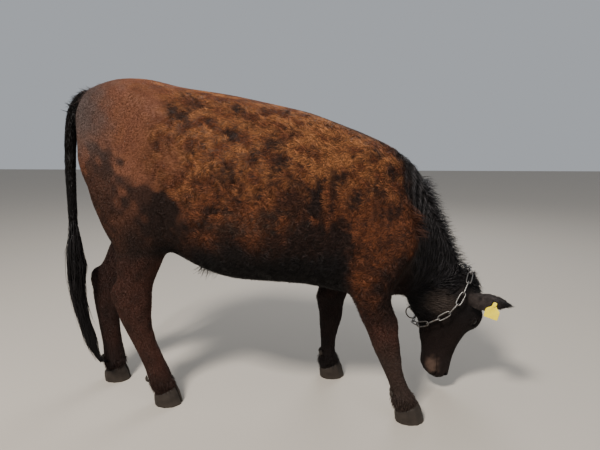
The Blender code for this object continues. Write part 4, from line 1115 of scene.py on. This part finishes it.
stretches = {
    # name: region, from and to along the body, the axis that it is unwrapped round, rings of each lock, and
    # how many times the plan's number of locks
    "coat_rump": ("trunk", -9, -0.45, ((-0.29, 0, 0.90), (-0.64, 0, 0.90)), 1, 2.1),
    "coat_loin": ("trunk", -0.45, -0.31, ((-0.16, 0, 0.86), (-0.40, 0, 0.90)), 1, 2.1),
    "coat_flank": ("trunk", -0.31, -0.17, ((-0.04, 0, 0.82), (-0.20, 0, 0.86)), 1, 2.2),
    "coat_barrel": ("trunk", -0.17, -0.03, ((0.11, 0, 0.80), (-0.04, 0, 0.82)), 1, 2.2),
    "coat_girth": ("trunk", -0.03, 0.11, ((0.27, 0, 0.78), (0.11, 0, 0.80)), 1, 2.2),
    "coat_ribs": ("trunk", 0.11, 0.25, ((0.27, 0, 0.78), (0.11, 0, 0.80)), 1, 2.2),
    "coat_shoulder": ("trunk", 0.25, 0.40, ((0.43, 0, 0.72), (0.27, 0, 0.76)), 1, 2.2),
    "coat_breast": ("trunk", 0.40, 9, ((0.60, 0, 0.66), (0.43, 0, 0.72)), 1, 2.2),
    "coat_neck": ("neck", -9, 9, ((0.81, 0.09, 0.36), (0.53, 0, 0.85)), 2, 1.0),
    "coat_head": ("head", -9, 9, ((0.77, 0.105, 0.08), (0.865, 0.13, 0.50)), 1, 1.0),
}
# the stretches' borders wander, so that none shows
borderAt = skinBody[:, 0] + 0.035 * waves(skinPoints, 0.11, 81) + 0.02 * waves(skinPoints, 0.03, 82)
for name, (region, start, stop, axis, rings, more) in stretches.items():
    growOn(name, owned(region) & (borderAt >= start) & (borderAt < stop), axis, rings=rings, more=more)
for sign, side in sideNames.items():
    for pair, low, high in (("fore", 0.0, 1.0), ("hind", -1.0, 0.0)):
        wanted = ["leg", "shank"] + (["thigh", "udder"] if pair == "hind" else [])
        keep = owned(*wanted) & (skinBody[:, 1] * sign > 0)
        keep = keep & (skinBody[:, 0] > low) & (skinBody[:, 0] < high)
        foot = boxMiddle(f"{pair}_claw_{side}_inner") - Vector(bodyAt)
        axis = ((foot.x, foot.y, 0.8), (foot.x, foot.y, 0.0))
        growOn(f"coat_{pair}_leg_{side}", keep, axis, rings=1)
        growOn(f"hair_{pair}_coronet_{side}", keep & owned("shank") & (skinPoints[:, 2] < 0.105), axis,
               (0.024, 0.0022, 20, 0.15, 0.3, 8.0), np.array((0.15, 0.0, -1.0)))
    ear = np.array(headTurn @ Vector(earAxes(sign)[1]))
    middle = np.array(boxMiddle("ear_" + side)) - bodyAt
    growOn("coat_ear_" + side, owned("ear") & (skinHead[:, 1] * sign > 0),
           (middle - ear * 0.1, middle + ear * 0.1), rings=1)
growOn("coat_tail", owned("tail"), ((-0.67, 0, 1.1), (-0.68, 0, 0.6)), rings=1)

# longer hair that stands out: along the crest, on the poll, over the tail head and under the belly
skinAlong, skinHigh = skinBody[:, 0], skinPoints[:, 2]
crestOut = skinOutward @ np.array((0.83, 0.0, 0.55))
onCrest = owned("neck", "trunk") & (crestOut > 0.80) & (skinAlong > 0.52) & (skinHigh < 0.86)
onPoll = owned("head", "neck") & (skinHead[:, 0] > -0.05) & (skinHead[:, 0] < 0.055)
onDock = owned("tail", "trunk") & (skinHigh > 1.10) & (skinAlong < -0.50)
onNavel = owned("trunk") & (np.hypot(skinAlong + 0.150, skinBody[:, 1]) < 0.040) & (skinHigh < 0.62)
standing = {
    # name: where it grows, the stretch whose axis it takes, from which end, plan, way, clump
    "hair_crest": (onCrest & (skinHead[:, 0] < 0.02), "coat_neck", 1,
                   (0.046, 0.0034, 50, 0.30, 0.75, 2.4), np.array((0.55, 0.0, -0.84)), 9),
    "hair_poll": (onPoll & (skinHead[:, 2] > -0.03), "coat_head", -1,
                  (0.024, 0.0034, 34, 0.7, 0.5, 2.2), headAxes @ np.array((0.75, 0.0, 0.4)), 6),
    "hair_dock": (onDock & (np.abs(skinBody[:, 1]) < 0.05), "coat_rump", -1,
                  (0.032, 0.0030, 26, 0.4, 0.5, 0.45), np.array((-0.85, 0.0, 0.30)), 5),
    "hair_navel": (onNavel, "coat_flank", 1,
                   (0.042, 0.0036, 66, 0.3, 0.6, 1.8), np.array((-0.9, 0.0, -0.3)), 8),
}
for name, (keep, stretch, end, plan, way, clump) in standing.items():
    growOn(name, keep, stretches[stretch][3][::end], plan, way, rings=3, clump=clump)
print("stage: coat")

# ---------- tail switch ----------
switchPlan = {"slices": 12, "core": 0.50, "locks": 1700, "begin": (-0.10, 0.72), "length": (0.24, 0.60),
              "width": 0.0040, "wave": 0.005, "flare": 0.012, "rings": 6, "longest": 1.0, "past": 0.09}


def switchLine():
    # middle and radius of the switch at a row of heights, read from its solid
    points = coords(nodes["tail_switch"].data)
    top, bottom = points[:, 2].max(), points[:, 2].min()
    heights = np.linspace(top, bottom, switchPlan["slices"])
    middles, radii = [], []
    for height in heights:
        near = points[np.abs(points[:, 2] - height) < (top - bottom) / switchPlan["slices"]]
        middles.append(near.mean(0))
        radii.append(np.linalg.norm((near - near.mean(0))[:, :2], axis=1).max())
    middles = np.array(middles)
    middles[:, 2] = heights
    return middles, np.array(radii)


def makeSwitch():
    middles, radii = switchLine()
    shares = np.linspace(0, 1, len(middles))

    def middleAt(s):
        return np.stack([np.interp(s, shares, middles[:, k]) for k in range(3)], -1)

    core = copied("tail_switch")
    drop = middles[0, 2] - middles[-1, 2]
    for vert in core.verts:
        middle = Vector(middleAt((middles[0, 2] - vert.co.z) / drop))
        vert.co = middle + (vert.co - middle) * switchPlan["core"]
    inner = fromBmesh("switch_core", core)
    putColour(inner.data, "pelt", np.tile(np.array(pelt["black"]) * 0.7, (len(inner.data.vertices), 1)))
    dress(inner, coatMaterial, "coat", "tail_switch")
    count = switchPlan["locks"]
    shape = tuftShape(switchPlan["rings"])
    t = shape[0][:, 2][None, :]
    low, high = switchPlan["begin"]
    begin = low + (high - low) * draw.random(count) ** 1.1
    length = draw.uniform(*switchPlan["length"], count)
    s = begin[:, None] + length[:, None] * t
    beyond = np.maximum(s - switchPlan["longest"], 0)
    s = np.minimum(s, switchPlan["longest"])
    angle = draw.uniform(0, 2 * math.pi, count)[:, None] + draw.normal(0, 0.5, count)[:, None] * t
    reach = draw.uniform(0.20, 0.90, count)[:, None] * np.interp(s, shares, radii) * ease(t, -0.25, 0.22)
    reach += switchPlan["flare"] * draw.normal(0, 0.5, count)[:, None] * t ** 2
    ripple = switchPlan["wave"] * np.sin(9 * s + draw.uniform(0, 6.3, count)[:, None]) * t
    line = middleAt(np.maximum(s, 0))
    line[..., 0] += np.cos(angle) * reach + ripple + 0.02 * beyond / switchPlan["past"]
    line[..., 1] += np.sin(angle) * reach + ripple * 0.4
    line[..., 2] += np.maximum(-s, 0) * drop - np.minimum(beyond, switchPlan["past"]) * 0.35
    side = np.stack([-np.sin(angle), np.cos(angle), 0 * angle], -1)
    up = np.stack([np.cos(angle), np.sin(angle), 0 * angle], -1)
    colours = np.tile(pelt["black"], (count, 1)) * draw.uniform(0.7, 1.7, count)[:, None]
    flat = np.stack([0.01 + 0.97 * (angle[:, 0] % (2 * math.pi)) / (2 * math.pi), 0.01 + 0.97 * begin], 1)
    width = switchPlan["width"] * draw.uniform(0.6, 1.3, count)
    joinLocks("switch_locks", shape, line, side, up, width, colours, flat, (0.8, 1.15), 0.6, 2.2)


makeSwitch()
print("stage: switch")

# ---------- eyes ----------
eyePlan = {"cornea": 0.055, "iris": 0.62, "pupil": (0.44, 0.20), "rim": 0.045,
           "colours": {"pupil": (0.0015, 0.0015, 0.002), "iris": (0.022, 0.010, 0.0055),
                       "edge": (0.006, 0.004, 0.003), "white": (0.050, 0.034, 0.028)}}


def makeEye(side):
    # a ball with a raised clear front, and a wide level pupil in a dark brown iris
    name = sideNames[side]
    radius = headPlan["eyeRadius"]
    centre, out, long, high = eyeAxes(side)
    bm = bmesh.new()
    bmesh.ops.create_uvsphere(bm, u_segments=72, v_segments=48, radius=radius)
    turn = Vector((0, 0, 1)).rotation_difference(Vector(out))
    bmesh.ops.rotate(bm, verts=bm.verts, matrix=turn.to_matrix())
    local = np.array([tuple(v.co) for v in bm.verts]) / radius
    across, up, front = local @ long, local @ high, local @ out
    wide = np.hypot(across, up)
    colour = {key: np.array(value) for key, value in eyePlan["colours"].items()}
    spoke = 0.75 + 0.45 * np.sin(np.arctan2(up, across) * 23) * np.sin(np.arctan2(up, across) * 7 + 1)
    tone = colour["iris"] * spoke[:, None]
    pupil = 1 - ease(np.hypot(across / eyePlan["pupil"][0], up / eyePlan["pupil"][1]), 0.88, 1.05)
    tone += (colour["pupil"] - tone) * pupil[:, None]
    iris, rim = eyePlan["iris"], eyePlan["rim"]
    tone += (colour["edge"] - tone) * ease(wide, iris - 3 * rim, iris)[:, None]
    white = np.maximum(ease(wide, iris, iris + rim), front < 0)
    tone += (colour["white"] - tone) * white[:, None]
    for vert, swell in zip(bm.verts, ease(front, 0.72, 1.0)):
        vert.co *= 1 + eyePlan["cornea"] * swell
    bmesh.ops.transform(bm, matrix=fromEye(centre), verts=bm.verts)
    eye = fromBmesh("eyeball_" + name, bm)
    putColour(eye.data, "tone", tone)
    dress(eye, eyeMaterial, "eye", "eye_" + name)


lashPlan = {"count": 90, "from": 18, "to": 162, "length": (0.006, 0.011), "width": 0.0009, "lift": -12.0}


def makeLashes(side):
    centre, out, long, high = eyeAxes(side)
    radius = headPlan["eyeRadius"] + lidPlan["gap"] + lidPlan["thick"]
    count = lashPlan["count"]
    angle = np.linspace(math.radians(lashPlan["from"]), math.radians(lashPlan["to"]), count)
    angle = angle + draw.normal(0, 0.02, count)
    across = np.cos(angle) * lidPlan["long"] * 0.98
    up = np.abs(np.sin(angle)) ** (2 / 1.7) * lidPlan["high"]
    deep = np.sqrt(np.maximum(radius ** 2 - across ** 2 - up ** 2, 1e-8))
    roots = centre + across[:, None] * long + up[:, None] * high + deep[:, None] * out
    fan = out + 0.35 * high + np.cos(angle)[:, None] * long * 0.45 + draw.normal(0, 0.06, (count, 3))
    way, outward = unit(fan) @ headAxes.T, np.tile(headAxes @ high, (count, 1))
    outward = unit(outward - way * (outward * way).sum(1)[:, None])
    length = draw.uniform(*lashPlan["length"], count)
    colours = np.tile(pelt["black"], (count, 1)) * 0.6
    flat = np.stack([angle / math.pi * 0.9, np.full(count, 0.5)], 1)
    width, lift, swirl = (np.full(count, value) for value in (lashPlan["width"], lashPlan["lift"], 0.1))
    growTufts("lashes_" + sideNames[side], fromHead(roots), outward, way, length, width, lift, swirl,
              colours, flat, rings=3, sink=0.0)


eyeMaterial = makeEyeMaterial()
for side in sideNames:
    makeEye(side)
    makeLashes(side)
print("stage: eyes")

# ---------- hooves and dewclaws ----------
hoofPlan = {"voxel": 0.0028, "smallVoxel": 0.0016, "passes": 3, "flat": 0.0016, "slope": 0.36}


def makeHoof(name, voxel):
    hoof = fused(name + "_horn", copied(name), voxel)
    before = coords(hoof.data)
    after = relax(before, edgePairs(hoof.data), hoofPlan["passes"])
    after[:, 2] = np.where(before[:, 2] < hoofPlan["flat"], before[:, 2].min(), after[:, 2])
    putCoords(hoof.data, after)
    depth = after[:, 2].max() - after[:, 2] - hoofPlan["slope"] * (after[:, 0].max() - after[:, 0])
    putValue(hoof.data, "below coronet", depth)
    shade(hoof.data)
    dress(hoof, hornMaterial, "horn", name)


hornMaterial = makeHornMaterial()
for name in sorted(nodes):
    if "dewclaw" in name:
        makeHoof(name, hoofPlan["smallVoxel"])
    elif "_claw_" in name:
        makeHoof(name, hoofPlan["voxel"])
print("stage: hooves")

# ---------- chain collar and ear tag ----------
chainPlan = {"levels": 2, "wire": 0.00075, "ring": 0.0007, "weld": 0.00001}
tagPlan = {"corner": 0.0040, "thickness": 0.0022, "edge": 0.0005, "sharp": 50}


def makeWire(name, fuller, material):
    # the solid's wire made round, and brought back to its thickness
    bm = copied(name, within=chainPlan["weld"])
    bmesh.ops.join_triangles(bm, faces=bm.faces, angle_face_threshold=1.0, angle_shape_threshold=1.2)
    wire = fromBmesh(name.replace("collar", "chain"), bm)
    rounder = wire.modifiers.new("rounder", "SUBSURF")
    rounder.levels = rounder.render_levels = chainPlan["levels"]
    bakeModifiers(wire)
    putCoords(wire.data, coords(wire.data) + normals(wire.data) * fuller)
    dress(wire, material, "steel", name)


def bevelEdges(bm, edges, offset, segments):
    bmesh.ops.bevel(bm, geom=edges, offset=offset, affect="EDGES", segments=segments, profile=0.5,
                    material=-1, clamp_overlap=True)


def makeTag():
    bm = copied("ear_tag", within=chainPlan["weld"])
    bmesh.ops.dissolve_limit(bm, angle_limit=math.radians(2), verts=bm.verts, edges=bm.edges)
    facing = max(bm.faces, key=lambda face: face.calc_area()).normal.copy()
    corners = []
    for edge in bm.edges:
        way = edge.verts[0].co - edge.verts[1].co
        if abs(way.length - tagPlan["thickness"]) < 0.0002 and abs(way.normalized().dot(facing)) > 0.98:
            corners.append(edge)
    bevelEdges(bm, corners, tagPlan["corner"], 4)
    sharp = math.radians(tagPlan["sharp"])
    rim = [edge for edge in bm.edges if len(edge.link_faces) == 2 and edge.calc_face_angle() > sharp]
    bevelEdges(bm, rim, tagPlan["edge"], 2)
    tag = fromBmesh("tag_flap", bm)
    tag.data.set_sharp_from_angle(angle=math.radians(38))
    dress(tag, makeTagMaterial(), "tag", "ear_tag")


chainSteel = makeSteelMaterial("worn chain", (0.27, 0.26, 0.25), (0.060, 0.036, 0.024), 0.09)
ringSteel = makeSteelMaterial("rusty ring", (0.16, 0.13, 0.11), (0.060, 0.030, 0.018), 0.22)
for name in sorted(nodes):
    if name.startswith("collar_link"):
        makeWire(name, chainPlan["wire"], chainSteel)
makeWire("collar_ring", chainPlan["ring"], ringSteel)
makeTag()
print("stage: collar and tag")

# ---------- stage ----------
camPlan = {"at": (0.2928, -1.8473, 1.007), "yaw": 3.15, "down": 9.87, "lens": 30}
lightPlan = {
    # place, size, power, colour
    "key": ((-1.5, -3.2, 4.4), 0.9, 470, (1.0, 0.95, 0.88)),
    "fill": ((3.4, -3.2, 1.8), 2.6, 32, (0.92, 0.96, 1.0)),
    "rim": ((0.8, 3.4, 3.8), 2.0, 80, (0.96, 0.98, 1.0)),
}


def makeStage():
    camera = bpy.data.cameras.new("camera")
    camera.lens, camera.sensor_width = camPlan["lens"], 36
    obj = linkObject("camera", camera)
    obj.location = Vector(bodyAt) + Vector(camPlan["at"])
    obj.rotation_euler = (math.radians(90 - camPlan["down"]), 0, math.radians(camPlan["yaw"]))
    bpy.context.scene.camera = obj
    bm = bmesh.new()
    bmesh.ops.create_grid(bm, x_segments=1, y_segments=1, size=14)
    floor = fromBmesh("floor", bm, False)
    material, tree, shader = newMaterial("pale floor", 0.8)
    shader.inputs["Base Color"].default_value = (0.42, 0.38, 0.33, 1)
    floor.data.materials.append(material)
    world = bpy.context.scene.world or bpy.data.worlds.new("world")
    bpy.context.scene.world = world
    world.use_nodes = True
    world.node_tree.nodes["Background"].inputs["Color"].default_value = (0.88, 0.93, 1.0, 1)
    world.node_tree.nodes["Background"].inputs["Strength"].default_value = 0.45
    for name, (at, size, power, tint) in lightPlan.items():
        light = bpy.data.lights.new(name, "AREA")
        light.size, light.energy, light.color = size, power, tint
        lamp = linkObject(name, light)
        lamp.location = at
        lamp.rotation_euler = (Vector((0, 0, 0.6)) - Vector(at)).to_track_quat("-Z", "Y").to_euler()


makeStage()
print("stage: lights and camera")
